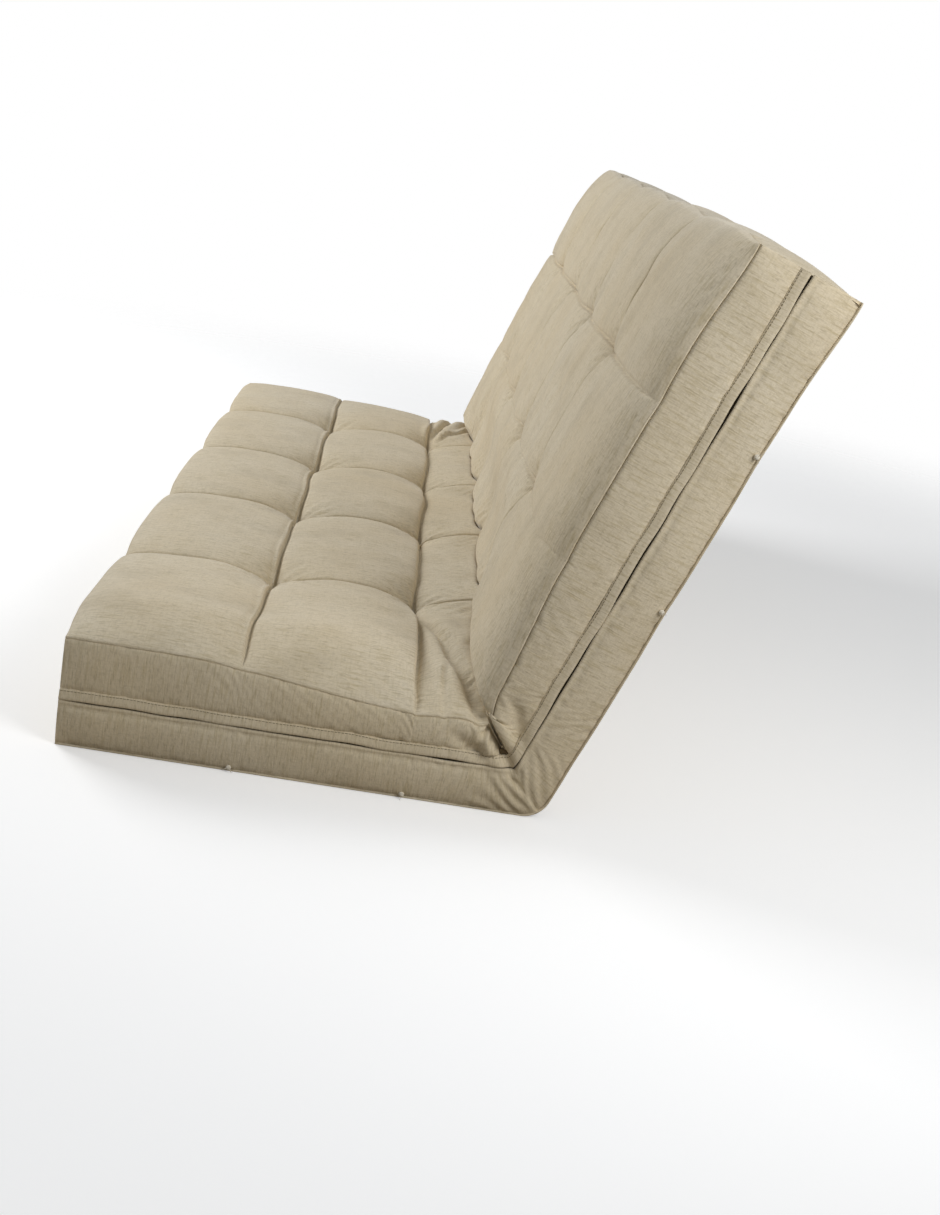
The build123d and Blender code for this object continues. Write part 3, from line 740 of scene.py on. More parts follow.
def chenille(pale, mid, dark, warm):
    """Oatmeal slub chenille, woven: matte and soft, with yarns of uneven thickness that run front to back."""
    material, tree, shader = new_material("Oatmeal slub chenille", 0.90, **{
        "Sheen Weight": 0.30, "Sheen Roughness": 0.40, "Specular IOR Level": 0.15})
    cloth = node(tree, "ShaderNodeAttribute", {"attribute_name": "cloth"}).outputs["Vector"]

    def yarn(across, along, detail, seed, roughness=0.6):
        """Noise whose cells are across by along, in millimetres, on the flat cloth."""
        stretched = node(tree, "ShaderNodeMapping", {"vector_type": "POINT"}, {"Vector": cloth})
        stretched.inputs["Scale"].default_value = (1000 / across, 1000 / along, 1)
        stretched.inputs["Location"].default_value = (seed * 3.1, seed * 1.7, seed)
        made = node(tree, "ShaderNodeTexNoise", {"Scale": 1.0, "Detail": detail, "Roughness": roughness},
                    {"Vector": stretched.outputs["Vector"]})
        return made.outputs["Fac"]

    def blend_in(base, colour, amount, kind="MIX"):
        """Mixes a colour over base by amount, a socket or a number."""
        mixed = node(tree, "ShaderNodeMix", {"data_type": "RGBA", "blend_type": kind})
        tree.links.new(base, mixed.inputs[6])
        mixed.inputs[7].default_value = colour
        tree.links.new(amount, mixed.inputs[0])
        return mixed.outputs[2]

    def between(source, low, high, top):
        """0 to top as the source goes from low to high."""
        values = {"From Min": low, "From Max": high, "To Min": 0.0, "To Max": top}
        return node(tree, "ShaderNodeMapRange", values, {"Value": source}).outputs["Result"]

    slub = yarn(3.0, 34.0, 3.0, 1)        # slubs: yarns about 3 mm wide and 34 mm long
    thin = yarn(1.9, 16.0, 2.0, 7)        # the thinner dark yarns between them, drawn coarse
    fleck = yarn(4.0, 5.0, 5.0, 2)        # heather of the blended fibres
    cross = yarn(20.0, 2.4, 2.0, 3)       # the finer yarns that cross them
    rub = yarn(85.0, 130.0, 4.0, 4, 0.55)     # where the pile lies one way or the other
    tone = yarn(300.0, 260.0, 2.0, 5)     # slow drift between a warmer and a cooler dye
    ground = ramp(tree, slub, [(0.30, mid), (0.52, pale), (0.75, pale)])
    ground = blend_in(ground, warm, between(tone, 0.34, 0.70, 0.40))
    ground = blend_in(ground, dark, between(thin, 0.54, 0.74, 0.42))
    ground = blend_in(ground, dark, between(fleck, 0.50, 0.74, 0.30))
    ground = blend_in(ground, mid, between(cross, 0.50, 0.70, 0.45))
    ground = blend_in(ground, dark, between(rub, 0.48, 0.74, 0.22))
    tree.links.new(ground, shader.inputs["Base Color"])
    ribs = node(tree, "ShaderNodeMapping", {"vector_type": "POINT"}, {"Vector": cloth})
    ribs.inputs["Scale"].default_value = (1000 / 2.6, 1000 / 3.4, 1)   # ribs 2.6 mm apart, drawn coarse
    cells = node(tree, "ShaderNodeTexVoronoi", {"Scale": 1.0, "Randomness": 0.7, "feature": "F1"},
                 {"Vector": ribs.outputs["Vector"]})
    height = node(tree, "ShaderNodeMath", {"operation": "MULTIPLY_ADD", 1: 1.0}, {0: slub})
    tree.links.new(node(tree, "ShaderNodeMath", {"operation": "MULTIPLY", 1: -0.5},
                        {0: cells.outputs["Distance"]}).outputs[0], height.inputs[2])
    bump = node(tree, "ShaderNodeBump", {"Strength": 0.45, "Distance": 0.0008}, {"Height": height.outputs[0]})
    tree.links.new(bump.outputs["Normal"], shader.inputs["Normal"])
    return material


def mottled(name, pale, dark, grain, roughness, edges=(0.35, 0.65), detail=5.0, **values):
    """A material mottled between two colours at grain millimetres, and the noise that does it."""
    material, tree, shader = new_material(name, roughness, **values)
    place = node(tree, "ShaderNodeTexCoord").outputs["Object"]
    speck = node(tree, "ShaderNodeTexNoise", {"Scale": 1000 / grain, "Detail": detail}, {"Vector": place})
    tree.links.new(ramp(tree, speck.outputs["Fac"], list(zip(edges, (linear(dark), linear(pale))))),
                   shader.inputs["Base Color"])
    return material, tree, shader, speck.outputs["Fac"]


def fibre(name, pale, dark, roughness, grain, depth):
    """Soft or moulded fibres and cells: matte, with a little sheen and a surface depth metres uneven."""
    material, tree, shader, speck = mottled(name, pale, dark, grain, roughness,
                                            **{"Sheen Weight": 0.15, "Specular IOR Level": 0.15})
    bump = node(tree, "ShaderNodeBump", {"Strength": 0.6, "Distance": depth}, {"Height": speck})
    tree.links.new(bump.outputs["Normal"], shader.inputs["Normal"])
    return material


def antique_brass():
    """Antique brass, tumbled and lacquered: warm metal, mottled lighter and darker."""
    material, tree, shader, speck = mottled("Antique brass", "8F7A4A", "5B4B2A", 1.5, 0.38, (0.3, 0.7), 4.0,
                                            Metallic=1.0)
    rough = node(tree, "ShaderNodeMapRange", {"To Min": 0.28, "To Max": 0.50}, {"Value": speck})
    tree.links.new(rough.outputs["Result"], shader.inputs["Roughness"])
    return material


# Each finish: name, palest and darkest colour, roughness, grain in mm and depth of its surface in metres
FIBRES = {
    # carded cotton, felted: a pale fluffy blanket with dull clumps
    "cotton_batting": ("Felted cotton batting", "EDE6D6", "D9CFB8", 0.95, 9.0, 0.003),
    # slabstock foam, cut: a yellowish open-celled face with no gloss
    "foam": ("Open cell polyurethane foam", "E9D9A6", "D6C48C", 0.95, 1.5, 0.001),
    # spun and bonded: a smooth tight thread, a shade darker than the cloth
    "thread": ("Polyester topstitching thread", "94866A", "7B6E54", 0.6, 0.8, 0.0002),
    # injection moulded: even brown teeth with a dull gloss
    "acetal": ("Moulded acetal teeth", "6B5F49", "5A4F3C", 0.45, 3.0, 0.0002),
    # twisted and waxed: a firm beige cord that catches a little light
    "twine": ("Waxed cotton twine", "CFC4AA", "A99B7C", 0.8, 1.2, 0.0004),
    # cut tufts, felted: a dull frilled disc
    "felt": ("Felted cotton rosette", "D8CDB6", "B3A688", 0.95, 1.6, 0.0012),
    # woven narrow: a flat brown ribbon
    "tape": ("Woven polyester zip tape", "8C7C60", "76684E", 0.85, 1.0, 0.0003),
    # cut twine, teased out: whiter than the cord, with loose fibres
    "frayed": ("Frayed cotton twine", "EDE7DA", "CBC0A8", 0.9, 1.2, 0.0004),
}
FINISHES = {}


def finish(key):
    """The finish of that name, made once."""
    if key not in FINISHES:
        FINISHES[key] = antique_brass() if key == "brass" else fibre(*FIBRES[key])
    return FINISHES[key]


def dress(piece, material):
    piece.data.materials.clear()
    piece.data.materials.append(material)


# ---- settings ------------------------------------------------------------------------------------
class MattressShape(bpy.types.PropertyGroup):
    """Sizes of the dressed mattress."""

    fine: bpy.props.FloatProperty(name="Grid at the lines", description="Cloth grid beside the tufts",
                                  default=0.0024, min=0.0015, max=0.02, unit="LENGTH")
    coarse: bpy.props.FloatProperty(name="Grid between", description="Cloth grid in the middle of a biscuit",
                                    default=0.0068, min=0.003, max=0.04, unit="LENGTH")
    band_bulge: bpy.props.FloatProperty(name="Band bulge", description="How far the boxing bands bow out",
                                        default=0.007, min=0.0, max=0.015, unit="LENGTH")
    stitch_pitch: bpy.props.FloatProperty(name="Stitch pitch", description="One topstitch and its gap",
                                          default=0.0045, min=0.002, max=0.01, unit="LENGTH")
    tooth_pitch: bpy.props.FloatProperty(name="Tooth pitch", description="Spacing of the zip's teeth",
                                         default=0.0025, min=0.0015, max=0.005, unit="LENGTH")


def yarn_colour(name, description, hexcode):
    return bpy.props.FloatVectorProperty(name=name, description=description, default=linear(hexcode), size=4,
                                         min=0, max=1, subtype="COLOR")


class MattressColours(bpy.types.PropertyGroup):
    """Colours of the chenille's yarns."""

    pale: yarn_colour("Pale yarn", "The palest yarns, which make most of the cloth", "E0D4BC")
    mid: yarn_colour("Middle yarn", "The ground between the slubs", "C8BA9A")
    dark: yarn_colour("Dark yarn", "The thin dark yarns and the rubbed patches", "928467")
    warm: yarn_colour("Warm dye", "The warmer of the two dye lots", "D4C09A")


MADE = {}


def grid_steps():
    shape = bpy.context.scene.mattress_shape
    return ((shape.fine, shape.coarse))


def cover():
    """The cover's grids, made once."""
    if "cover" not in MADE:
        MADE["cover"] = Cover(*grid_steps(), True)
    return MADE["cover"]


def cover_cloth():
    """The cover's chenille, made once."""
    if "chenille" not in FINISHES:
        yarns = bpy.context.scene.mattress_colours
        FINISHES["chenille"] = chenille(*(tuple(c) for c in (yarns.pale, yarns.mid, yarns.dark, yarns.warm)))
    return FINISHES["chenille"]


def sheet_piece(name, grid, nodes, flip=False, body=None):
    """A panel or band of the cover from its grid of points, in the place of CAD nodes."""
    rows, columns = grid.shape[:2]
    piece = mesh_object(name, grid, grid_faces(rows, columns, flip), flat_cloth(grid))
    dress(piece, cover_cloth())
    stands_for(piece, nodes, body)


def both_halves(title):
    return [f"{half.name}_{title}" for half in HALVES]


# ---- fill ----------------------------------------------------------------------------------------
LAYERS = {"bottom_batting": (0.0145, 0.0255), "lower_foam": (0.026, 0.0475),
          "middle_batting": (0.048, 0.0885), "upper_foam": (0.089, 0.1165)}   # each layer's underside and top
COVER_ROOM = 0.006                   # the fill's clearance inside the cover
ZIP_ROOM = 0.016                     # the middle layer stops this far inside the near end, where the zip lies


def tucked_inside(local, half):
    """Moves points of the fill that would come through the face to COVER_ROOM inside it."""
    made = cover()
    face = made.face_of(half)
    row = np.argmin(np.abs(local[:, 0][:, None] - made.u[None]), 1)
    line = face[row][..., 1:]
    away = local[:, None, 1:] - line
    near = np.argmin((away ** 2).sum(-1), 1)
    pick = np.arange(len(local))
    tangent = np.gradient(line, axis=1)[pick, near]
    normal = -half.side * unit(np.stack([tangent[:, 1], -tangent[:, 0]], -1), 1e-12)
    over = (away[pick, near] * normal).sum(-1)
    local = local.copy()
    local[:, 1:] -= normal * np.maximum(over + COVER_ROOM, 0)[:, None]
    return local


def slab(half, low, high, near_room, radius=0.007, seed=1):
    """A flat layer of the fill with rounded edges, cut on the bisecting plane: points and faces."""
    def edge(z):
        return max((z - FOLD_Z) * math.tan(LEAN), 0) + 0.014

    inner_low, inner_high = edge(low) + radius, edge(high) + radius
    outer = half.outer - 0.0055 - radius
    floor, roof = low + radius, high - radius
    corners = [(inner_low, floor), (outer, floor), (outer, roof), (inner_high, roof)]
    heading = [(180, 270), (270, 360), (0, 90), (90, 180)]
    outline, pushes = [], []
    for i, ((y, z), (a, b)) in enumerate(zip(corners, heading)):
        for angle in np.radians(np.linspace(a, b, 5)):
            outline.append((y, z))
            pushes.append((math.cos(angle), math.sin(angle)))
        y2, z2 = corners[(i + 1) % 4]
        for k in range(1, 14):
            outline.append((y + (y2 - y) * k / 14, z + (z2 - z) * k / 14))
            pushes.append((math.cos(math.radians(b)), math.sin(math.radians(b))))
    outline, pushes = np.array(outline), np.array(pushes)
    turn = np.radians(np.linspace(0, 90, 5))
    low_end, high_end = -HALF_LENGTH + 0.009, HALF_LENGTH - near_room
    along = np.concatenate([(low_end + radius - radius * np.cos(turn)),
                            np.linspace(low_end + radius, high_end - radius, 42)[1:-1],
                            (high_end - radius + radius * np.cos(turn))[::-1]])
    size = np.concatenate([np.sin(turn), np.ones(40), np.sin(turn)[::-1]])
    size = np.maximum(size, 0.02) * radius
    points = np.empty((len(along), len(outline), 3))
    points[..., 0] = along[:, None]
    points[..., 1:] = outline[None] + pushes[None] * size[:, None, None]
    points[..., 2] += (0.0004 * ripple(along, seed, 0.06, 0.3)[:, None]
                       * ripple(outline[:, 0], seed + 1, 0.06, 0.3))
    return capped_rings(points)


def crowned_slab(half, floor=0.1172, edge=0.010):
    """The top batting: flat below, and as full as the face above, COVER_ROOM inside it."""
    face = cover().face_of(half)
    if half is SEAT:
        face = face[:, ::-1]
    keep = np.flatnonzero(np.mean(face[..., 2], 0) > floor + 0.012)
    keep = keep[face[:, keep, 1].mean(0) > half.bend_start - 0.6 * half.roll][::2]
    top = face[::2][:, keep].copy()
    top[..., 2] = np.maximum(top[..., 2] - COVER_ROOM, floor + 0.0012)
    top[..., 0] = np.clip(top[..., 0], -HALF_LENGTH + edge, HALF_LENGTH - edge)
    top[..., 1] = np.minimum(top[..., 1], half.outer - 0.75 * edge)
    low = top.copy()
    low[..., 2] = floor
    rows, columns = top.shape[:2]
    total = rows * columns
    faces = grid_faces(rows, columns).tolist() + grid_faces(rows, columns, True, total).tolist()
    rim = ([i * columns for i in range(rows)] + [(rows - 1) * columns + j for j in range(1, columns)]
           + [i * columns + columns - 1 for i in range(rows - 2, -1, -1)] + list(range(columns - 2, 0, -1)))
    for a, b in zip(rim, rim[1:] + rim[:1]):
        faces.append([b, a, a + total, b + total])
    return np.concatenate([top.reshape(-1, 3), low.reshape(-1, 3)]), faces


# ---- operators -----------------------------------------------------------------------------------
BOXING = 0.150                       # the bands' cut, 6 in boxing
# Profiles of the near end's narrow strips: how far out each line stands from the end, and its height, in
# metres. LIP is the lower band's rolled edge, under the flap's lower edge. FLAP is the doubled flap, from its
# sewn edge down its outside and back up its inside.
LIP = ((-0.0064, -0.0082), (-0.0034, -0.0040), (-0.0010, -0.0021), (0.0012, -0.0020), (0.0025, -0.0038),
       (0.0024, -0.0064))
FLAP = ((-0.0014, 0.0146), (0.0002, 0.0139), (0.0014, 0.0122), (0.0019, 0.0106), (0.0027, 0.0075),
        (0.0036, 0.0040), (0.0037, 0.0014), (0.0029, 0.0), (0.0015, 0.0002), (0.0006, 0.0020),
        (-0.0006, 0.0110))
TOPSTITCHED = 2                      # the flap's line that is topstitched
BLOCK_FACES = ((0, 1, 2, 3), (7, 6, 5, 4), (0, 4, 5, 1), (1, 5, 6, 2), (2, 6, 7, 3), (3, 7, 4, 0))


class MATTRESS_OT_fill(bpy.types.Operator):
    """Makes the cotton batting and foam of each half, layer by layer"""

    bl_idname = "mattress.fill"
    bl_label = "Batting and foam"

    def execute(self, context):
        for half in HALVES:
            for seed, (layer, (low, high)) in enumerate(LAYERS.items()):
                room = ZIP_ROOM if layer == "middle_batting" else 0.010
                points, faces = slab(half, low, high, room, seed=seed)
                self.add(half, layer, layer, tucked_inside(points, half), faces)
            self.add(half, "crowned_batting", "top_batting", *crowned_slab(half))
        return {"FINISHED"}

    def add(self, half, title, layer, local, faces):
        # the ends draw in beside the fold, where the cover is tucked
        over = np.hypot(local[:, 1], local[:, 2] - FOLD_Z)
        limit = HALF_LENGTH - 0.009 - 0.020 * (1 - smooth((over - 0.03) / 0.12))
        local[:, 0] = np.clip(local[:, 0], -limit, limit)
        pad = mesh_object(f"{title}_{half.name}", half.to_row(local), faces)
        slot = "foam" if "foam" in layer else "cotton_batting"
        dress(pad, finish(slot))
        stands_for(pad, [f"{half.name}_{layer}"], f"{half.name}_half")


class MATTRESS_OT_panels(bpy.types.Operator):
    """Makes the tufted face panel and the base panel, each one piece of cloth through the fold"""

    bl_idname = "mattress.panels"
    bl_label = "Face and base panels"

    def execute(self, context):
        made = cover()
        sheet_piece("cover_face_panel", made.face, both_halves("face_panel"))
        sheet_piece("cover_base_panel", made.base, both_halves("base_panel"), flip=True)
        return {"FINISHED"}


class MATTRESS_OT_outer_bands(bpy.types.Operator):
    """Makes the boxing band along the seat's front and the one along the top of the back"""

    bl_idname = "mattress.outer_bands"
    bl_label = "Front and top bands"

    def execute(self, context):
        made = cover()
        bulge = context.scene.mattress_shape.band_bulge
        for name, half, column, fullness in (("front", SEAT, 0, 1.0), ("top", BACK, -1, 1.7)):
            top, low = made.face[:, column], made.base[:, column]
            bottom = np.stack([top[:, 0]] + [np.interp(top[:, 0], low[:, 0], low[:, k]) for k in (1, 2)], -1)
            swell = 0.6 + 0.6 * edge_swell(np.clip(top[:, 0], -HALF_LENGTH, HALF_LENGTH))
            grid = band_grid(top, bottom, BOXING, half.out, bulge * fullness * swell[:, None], 21 + column)
            sheet_piece(f"cover_{name}_band", grid, [f"{half.name}_{name}_band"],
                        flip=half is BACK, body=f"{half.name}_half")
        return {"FINISHED"}


def end_lines(side):
    """The end's top and bottom seam, point for point, and the direction that the end faces."""
    made = cover()
    row = -1 if side > 0 else 0
    return made.face[row], made.base[row], np.array([float(side), 0, 0])


def station(top, bottom, height):
    """Share of the way from the bottom to the top seam at which a band is at a height above the underside."""
    share = np.empty(len(top))
    for half, part in parts_of(cover().split + SEAM):
        high, low = half.to_local(top[part])[:, 2], half.to_local(bottom[part])[:, 2]
        share[part] = (height - low) / (high - low)
    return share


def crease_gather(top, amount):
    """Spare cloth in an end band beside the crease."""
    s = distances(top)
    return amount * bell(s - s[cover().split + SEAM], 0.16)


class MATTRESS_OT_end_bands(bpy.types.Operator):
    """Makes the far end's band, and the near end's two bands above and below the zip"""

    bl_idname = "mattress.end_bands"
    bl_label = "End bands"

    def execute(self, context):
        bulge = context.scene.mattress_shape.band_bulge
        top, bottom, out = end_lines(-1)
        grid = band_grid(top, bottom, BOXING, out, bulge, 31, crease_gather(top, 0.04), 0.011, cover().sunk)
        sheet_piece("cover_far_band", grid, both_halves("far_band"), flip=True)

        top, bottom, out = end_lines(1)
        seam = bottom + (top - bottom) * station(top, bottom, FLAP_HIGH)[:, None]
        seam[:, 0] = HALF_LENGTH - 0.0010 - end_folds(seam, 0.010)
        grid = band_grid(top, seam, BOXING / 2, out, bulge * 0.8, 33, crease_gather(top, 0.04), 0.016,
                         cover().sunk)
        sheet_piece("cover_near_upper_band", grid, both_halves("near_upper_band"))

        edge = bottom + (top - bottom) * station(top, bottom, FLAP_LOW - 0.0085)[:, None]
        edge[:, 0] = HALF_LENGTH + 0.0012 - end_folds(edge, 0.006)
        below = band_grid(edge, bottom, 0.065, out, bulge * 0.8, 35, crease_gather(top, 0.03), 0.005)
        lip = strip(top, bottom, LIP, FLAP_LOW, 0.0008, 51)
        sheet_piece("cover_near_lower_band", np.concatenate([lip, below], 1),
                    both_halves("near_lower_band"))
        return {"FINISHED"}


def strip(top, bottom, profile, start, sway, seed):
    """A narrow strip along the near end. profile gives how far out each line is and how high over start."""
    wave = unit(top - bottom) * (ripple(distances(top), seed, 0.05, 0.22) * sway)[:, None]
    lines = []
    for out, height in profile:
        points = bottom + (top - bottom) * station(top, bottom, start + height)[:, None] + wave
        points[:, 0] = HALF_LENGTH + out - end_folds(points, 0.006)
        lines.append(points)
    return np.stack(lines, 1)


def stitches(line, pitch, outward, radius=0.00045):
    """A line of topstitching along a seam: short threads that dip into the cloth at both ends."""
    s = distances(line)
    parts = []
    for k in range(int(s[-1] / pitch)):
        at = (k + np.linspace(0.14, 0.86, 4)) * pitch
        path = np.stack([np.interp(at, s, line[:, i]) for i in range(3)], -1)
        path += outward * (np.array([-0.4, 0.5, 0.5, -0.4]) * radius)[:, None]
        parts.append(tube(path, radius, 5))
    return joined(parts)


class MATTRESS_OT_zip(bpy.types.Operator):
    """Makes the zip's flap and its topstitching, and the rows of teeth"""

    bl_idname = "mattress.zip"
    bl_label = "Zip and flap"

    def execute(self, context):
        shape = context.scene.mattress_shape
        top, bottom, out = end_lines(1)
        grid = strip(top, bottom, FLAP, FLAP_LOW, 0.0009, 41)[2:-2]      # it stops just short of the corners
        sheet_piece("cover_zip_flap", grid, both_halves("zip_flap"))
        seam = mesh_object("flap_topstitching", *stitches(grid[3:-3, TOPSTITCHED], shape.stitch_pitch, out))
        dress(seam, finish("thread"))
        stands_for(seam, ())
        for half in HALVES:
            for side in ("upper", "lower"):
                self.teeth(half, side, shape.tooth_pitch)
        return {"FINISHED"}

    def teeth(self, half, side, pitch):
        """One half's row of teeth: blocks with a narrower head, a pitch apart."""
        source = frame["nodes"][f"{half.name}_zip_{side}_teeth"]
        local = half.to_local(np.array([source.matrix_world @ v.co for v in source.data.vertices]))
        (x0, y0, z0), (x1, y1, z1) = local.min(0), local.max(0)
        root, head = (z1, z0) if side == "upper" else (z0, z1)
        shift = 0 if side == "upper" else pitch / 2
        parts = []
        for k in range(int((y1 - y0 - shift) / pitch)):
            y = y0 + shift + (k + 0.5) * pitch
            block = [(x, y + dy * w, z) for z, w in ((root, 0.0008), (head, 0.0005)) for x, dy in
                     ((x0, -1), (x1, -1), (x1, 1), (x0, 1))]
            parts.append((np.array(block), BLOCK_FACES))
        points, faces = joined(parts)
        row = mesh_object(f"zip_{side}_teeth_{half.name}", half.to_row(points), faces)
        row.data.polygons.foreach_set("use_smooth", [False] * len(row.data.polygons))
        dress(row, finish("acetal"))
        stands_for(row, [source.name], f"{half.name}_half")


ROSETTE_RADIUS, ROSETTE_LOW, ROSETTE_HIGH = 0.012, 0.0046, 0.0112
TAIL_UP = 0.006                      # height of the thread ends above the underside, at the near end


def rosette(u, y, seed):
    """A felted cotton rosette: a domed disc, frilled round its rim and pinched by the twine in the middle."""
    rng = np.random.default_rng(seed)
    angle = np.linspace(0, 2 * math.pi, 36, endpoint=False)
    frill = 1 + 0.07 * np.sin(9 * angle + rng.uniform(0, 6)) + 0.04 * rng.normal(0, 1, 36)
    rings = []
    for radius, rise in ((0.06, 0.45), (0.22, 0.30), (0.45, 0.10), (0.72, 0.0), (0.93, 0.14), (1.0, 0.42),
                         (0.95, 0.75), (0.6, 0.95), (0.1, 1.0)):
        r = ROSETTE_RADIUS * radius * (1 + (frill - 1) * radius ** 2)
        z = ROSETTE_LOW + (ROSETTE_HIGH - ROSETTE_LOW) * (rise + 0.05 * radius * rng.normal(0, 1, 36))
        rings.append(np.stack([u + r * np.cos(angle), y + r * np.sin(angle), z], -1))
    return capped_rings(np.array(rings))


def face_knot(place, up, seed):
    """Two twists of twine that cross over the cloth at the bottom of a tuft."""
    rng = np.random.default_rng(seed)
    parts = []
    for turn in (0.5, 2.0):
        a = turn + rng.uniform(-0.3, 0.3)
        way = np.array([math.cos(a), 0, 0]) + math.sin(a) * np.cross(up, (1, 0, 0))
        t = np.linspace(-1, 1, 7)
        path = place + way * (0.0042 * t)[:, None] + up * (0.0016 * (1 - t ** 2) - 0.0006)[:, None]
        parts.append(tube(path, 0.0009, 6))
    return joined(parts)


def thread_nub(u, y, seed):
    """The knotted ends of a tuft's twine, between the deck and the end: a knot and three frayed ends."""
    rng = np.random.default_rng(seed)
    middle = np.array([u + 0.0006, y, TAIL_UP])
    t = np.linspace(-1, 1, 9)
    knot = np.stack([0.0030 * t, 0 * t, 0 * t], -1) + middle
    parts = [tube(knot, 0.0040 * np.sqrt(np.maximum(1 - t ** 2, 0.02)), 8)]
    for _ in range(3):
        way = np.array([rng.uniform(0.3, 0.7), rng.uniform(-1, 1), rng.uniform(-0.4, 0.3)])
        way /= np.linalg.norm(way)
        s = np.linspace(0, 1, 6)[:, None]
        bend = np.array([0, rng.uniform(-1, 1), rng.uniform(-1, 0.5)]) * 0.0015
        parts.append(tube(middle + way * 0.0075 * s + bend * s ** 2, 0.00055 * (1 - 0.5 * s[:, 0]), 5))
    return joined(parts)


class MATTRESS_OT_tufts(bpy.types.Operator):
    """Makes the tufts' knots, rosettes and thread ends, and finishes the twines, tapes and metal pieces"""

    bl_idname = "mattress.tufts"
    bl_label = "Tufts"

    def execute(self, context):
        made = cover()
        for half, part in parts_of(made.split):
            face = made.inner_face[:, part]
            knots, rosettes, nubs = [], [], []
            for i, row in enumerate(half.rows):
                at = np.argmin(np.abs(made.q[half.name] - row))
                for j, column in enumerate(COLUMNS):
                    knots.append(face_knot(face[np.argmin(np.abs(made.u - column)), at], half.up, 10 * i + j))
                nubs.append(thread_nub(HALF_LENGTH, row, 70 + i))
            for i, row in enumerate(half.rows if half is SEAT else half.lines):
                rosettes += [rosette(column, row, 10 * i + j) for j, column in enumerate(COLUMNS)]
            for title, node_title, parts, material, slot in (
                    ("tuft_knots", "tuft_stitches", knots, "twine", "twine"),
                    ("rosettes", "tuft_rosettes", rosettes, "felt", "felt"),
                    ("thread_ends", "thread_tails", nubs, "frayed", "twine")):
                points, faces = joined(parts)
                points = points if title == "tuft_knots" else half.to_row(points)
                piece = mesh_object(f"{title}_{half.name}", points, faces)
                dress(piece, finish(material))
                stands_for(piece, [f"{half.name}_{node_title}"], f"{half.name}_half")
        for name, piece in frame["nodes"].items():
            for part, material in (("twines", "twine"), ("tape", "tape"), ("stop", "brass"),
                                   ("zip_slider", "brass"), ("zip_pull", "brass")):
                if part in name:
                    dress(piece, finish(material))
        return {"FINISHED"}


# ---- stage ---------------------------------------------------------------------------------------
# Lamps: name, place and target in metres, size in metres, power in watts and spread in degrees
LAMPS = (("key", (-1.3, -2.6, 2.05), (0, 0.1, 0.35), 2.0, 80, 180),
         ("fill", (1.95, 1.35, 1.45), (0.95, 0.75, 0.8), 1.0, 8.5, 110))
CAMERA_PLACE = (2.8764, 0.0743, 0.8746)          # metres
CAMERA_TURN = (72.440, -9.793, 89.516)           # degrees about x, y and z
FLOOR_SIZE, FLOOR_MIDDLE = 30.0, (0, 0.15, 0)    # metres
FLOOR_FADE = (1.5, 3.2)                          # the floor fades out between these distances, in metres


def soft_lamp(name, place, target, size, power, spread):
    lamp = bpy.data.lights.new(name, "AREA")
    lamp.size, lamp.energy, lamp.spread = size, power, math.radians(spread)
    made = bpy.data.objects.new(name, lamp)
    bpy.context.scene.collection.objects.link(made)
    made.location = place
    made.rotation_euler = (Vector(target) - Vector(place)).to_track_quat("-Z", "Y").to_euler()


def seen_ray(tree):
    """1 for rays that show a thing, by eye, in a gloss or through glass, and 0 for light thrown back."""
    path = node(tree, "ShaderNodeLightPath")
    seen = node(tree, "ShaderNodeMath", {"operation": "MAXIMUM"},
                {0: path.outputs["Is Camera Ray"], 1: path.outputs["Is Glossy Ray"]})
    return node(tree, "ShaderNodeMath", {"operation": "MAXIMUM"},
                {0: seen.outputs[0], 1: path.outputs["Is Transmission Ray"]}).outputs[0]


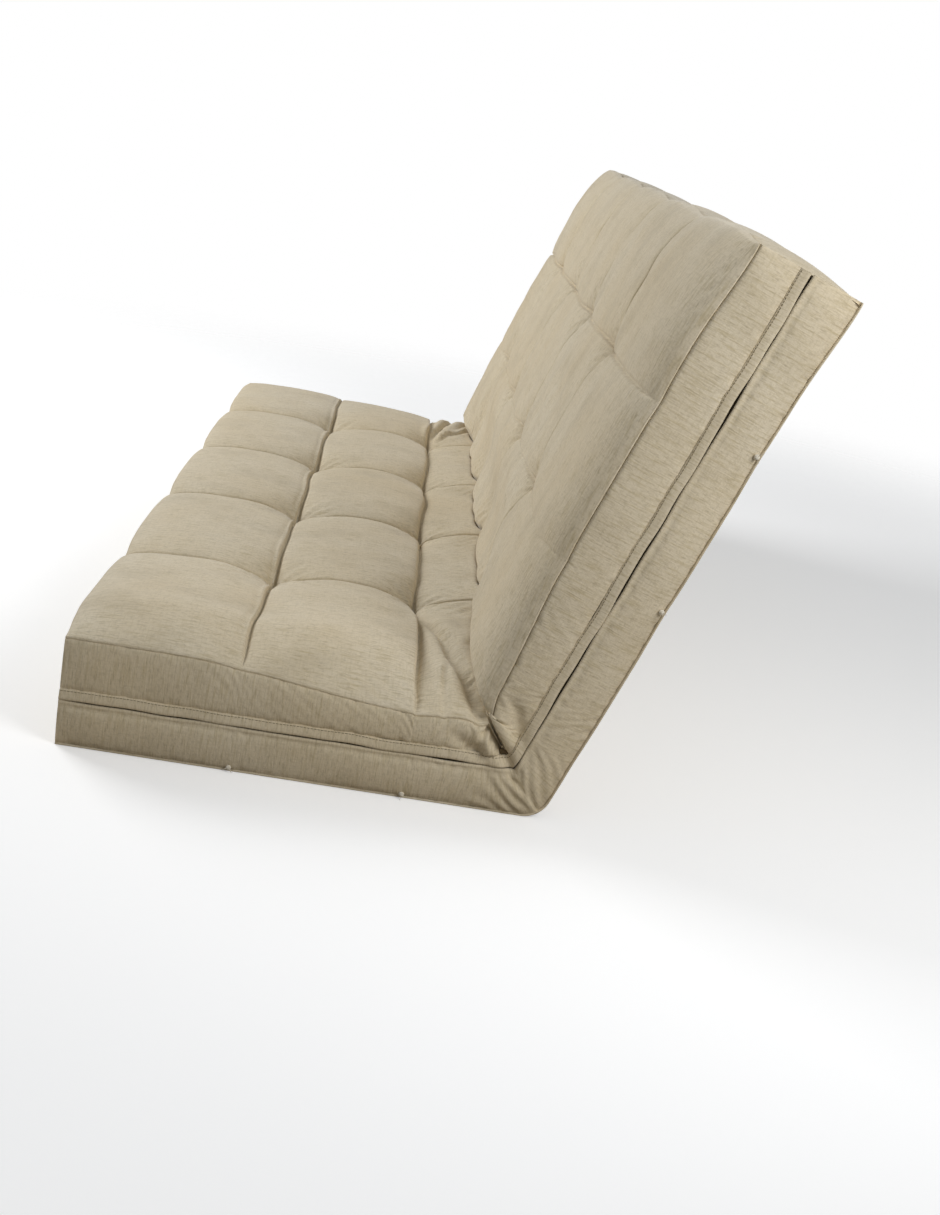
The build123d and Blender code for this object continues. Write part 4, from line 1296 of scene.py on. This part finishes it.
class MATTRESS_OT_stage(bpy.types.Operator):
    """Makes the floor, the lamps, the world and the camera"""

    bl_idname = "mattress.stage"
    bl_label = "Stage"

    def execute(self, context):
        scene = context.scene
        self.floor(scene)
        self.world(scene)
        for lamp in LAMPS:
            soft_lamp(*lamp)
        camera = bpy.data.cameras.new("camera")
        camera.sensor_width = 36
        camera.lens = 47.305
        camera.clip_end = 100
        made = bpy.data.objects.new("camera", camera)
        scene.collection.objects.link(made)
        made.location = CAMERA_PLACE
        made.rotation_euler = tuple(math.radians(a) for a in CAMERA_TURN)
        scene.camera = made
        scene.view_settings.view_transform = "Standard"
        return {"FINISHED"}

    def floor(self, scene):
        """A white floor that keeps the mattress's shadow and fades into the white world away from it."""
        mesh = bpy.data.meshes.new("floor")
        corners = [(x * FLOOR_SIZE, y * FLOOR_SIZE, 0) for x, y in ((-1, -1), (1, -1), (1, 1), (-1, 1))]
        mesh.from_pydata(corners, [], [(0, 1, 2, 3)])
        floor = bpy.data.objects.new("floor", mesh)
        scene.collection.objects.link(floor)
        floor.location.z = -0.0006
        material, tree, shader = new_material("Matt white paint", 0.9)
        seen = seen_ray(tree)
        tint = node(tree, "ShaderNodeMix", {"data_type": "RGBA"}, {0: seen})
        tint.inputs[6].default_value, tint.inputs[7].default_value = linear("968A76"), linear("F6F6F6")
        tree.links.new(tint.outputs[2], shader.inputs["Base Color"])
        shader.inputs["Emission Color"].default_value = (1, 1, 1, 1)
        glow = node(tree, "ShaderNodeMath", {"operation": "MULTIPLY", 1: 0.30}, {0: seen})
        tree.links.new(glow.outputs[0], shader.inputs["Emission Strength"])
        place = node(tree, "ShaderNodeTexCoord").outputs["Object"]
        reach = node(tree, "ShaderNodeVectorMath", {"operation": "DISTANCE", 1: FLOOR_MIDDLE}, {0: place})
        fading = {"interpolation_type": "SMOOTHSTEP", "From Min": FLOOR_FADE[0], "From Max": FLOOR_FADE[1]}
        fade = node(tree, "ShaderNodeMapRange", fading, {"Value": reach.outputs["Value"]})
        clear = node(tree, "ShaderNodeBsdfTransparent")
        mixed = node(tree, "ShaderNodeMixShader", links={0: fade.outputs["Result"], 1: shader.outputs["BSDF"],
                                                         2: clear.outputs["BSDF"]})
        output = next(n for n in tree.nodes if n.bl_idname == "ShaderNodeOutputMaterial")
        tree.links.new(mixed.outputs["Shader"], output.inputs["Surface"])
        dress(floor, material)

    def world(self, scene):
        """White where it is seen, by eye or in a gloss, and dimmer where it lights the mattress."""
        world = bpy.data.worlds.new("World")
        scene.world = world
        world.use_nodes = True
        tree = world.node_tree
        tree.nodes.clear()
        seen = seen_ray(tree)
        light = node(tree, "ShaderNodeBackground", {"Color": (0.94, 0.97, 1.0, 1), "Strength": 0.28})
        white = node(tree, "ShaderNodeBackground", {"Color": (1, 1, 1, 1), "Strength": 1.0})
        sky = node(tree, "ShaderNodeMixShader", links={0: seen, 1: light.outputs[0], 2: white.outputs[0]})
        node(tree, "ShaderNodeOutputWorld", links={"Surface": sky.outputs[0]})


class MATTRESS_PT_sidebar(bpy.types.Panel):
    """Lists the mattress's sizes, colours and pieces"""

    bl_idname = "MATTRESS_PT_sidebar"
    bl_label = "Futon mattress"
    bl_space_type = "VIEW_3D"
    bl_region_type = "UI"
    bl_category = "Futon"

    def draw(self, context):
        for group in (context.scene.mattress_shape, context.scene.mattress_colours):
            for key in group.__annotations__:
                self.layout.prop(group, key)
        for operator in OPERATORS:
            self.layout.operator(operator.bl_idname)


OPERATORS = (MATTRESS_OT_fill, MATTRESS_OT_panels, MATTRESS_OT_outer_bands, MATTRESS_OT_end_bands,
             MATTRESS_OT_zip, MATTRESS_OT_tufts, MATTRESS_OT_stage)
CLASSES = (MattressShape, MattressColours) + OPERATORS + (MATTRESS_PT_sidebar,)


def register():
    for each in CLASSES:
        bpy.utils.register_class(each)
    bpy.types.Scene.mattress_shape = bpy.props.PointerProperty(type=MattressShape)
    bpy.types.Scene.mattress_colours = bpy.props.PointerProperty(type=MattressColours)


def unregister():
    del bpy.types.Scene.mattress_colours
    del bpy.types.Scene.mattress_shape
    for each in reversed(CLASSES):
        bpy.utils.unregister_class(each)


def main():
    register()
    for operator in OPERATORS:
        group, name = operator.bl_idname.split(".")
        getattr(getattr(bpy.ops, group), name)()


if __name__ == "__main__":
    main()
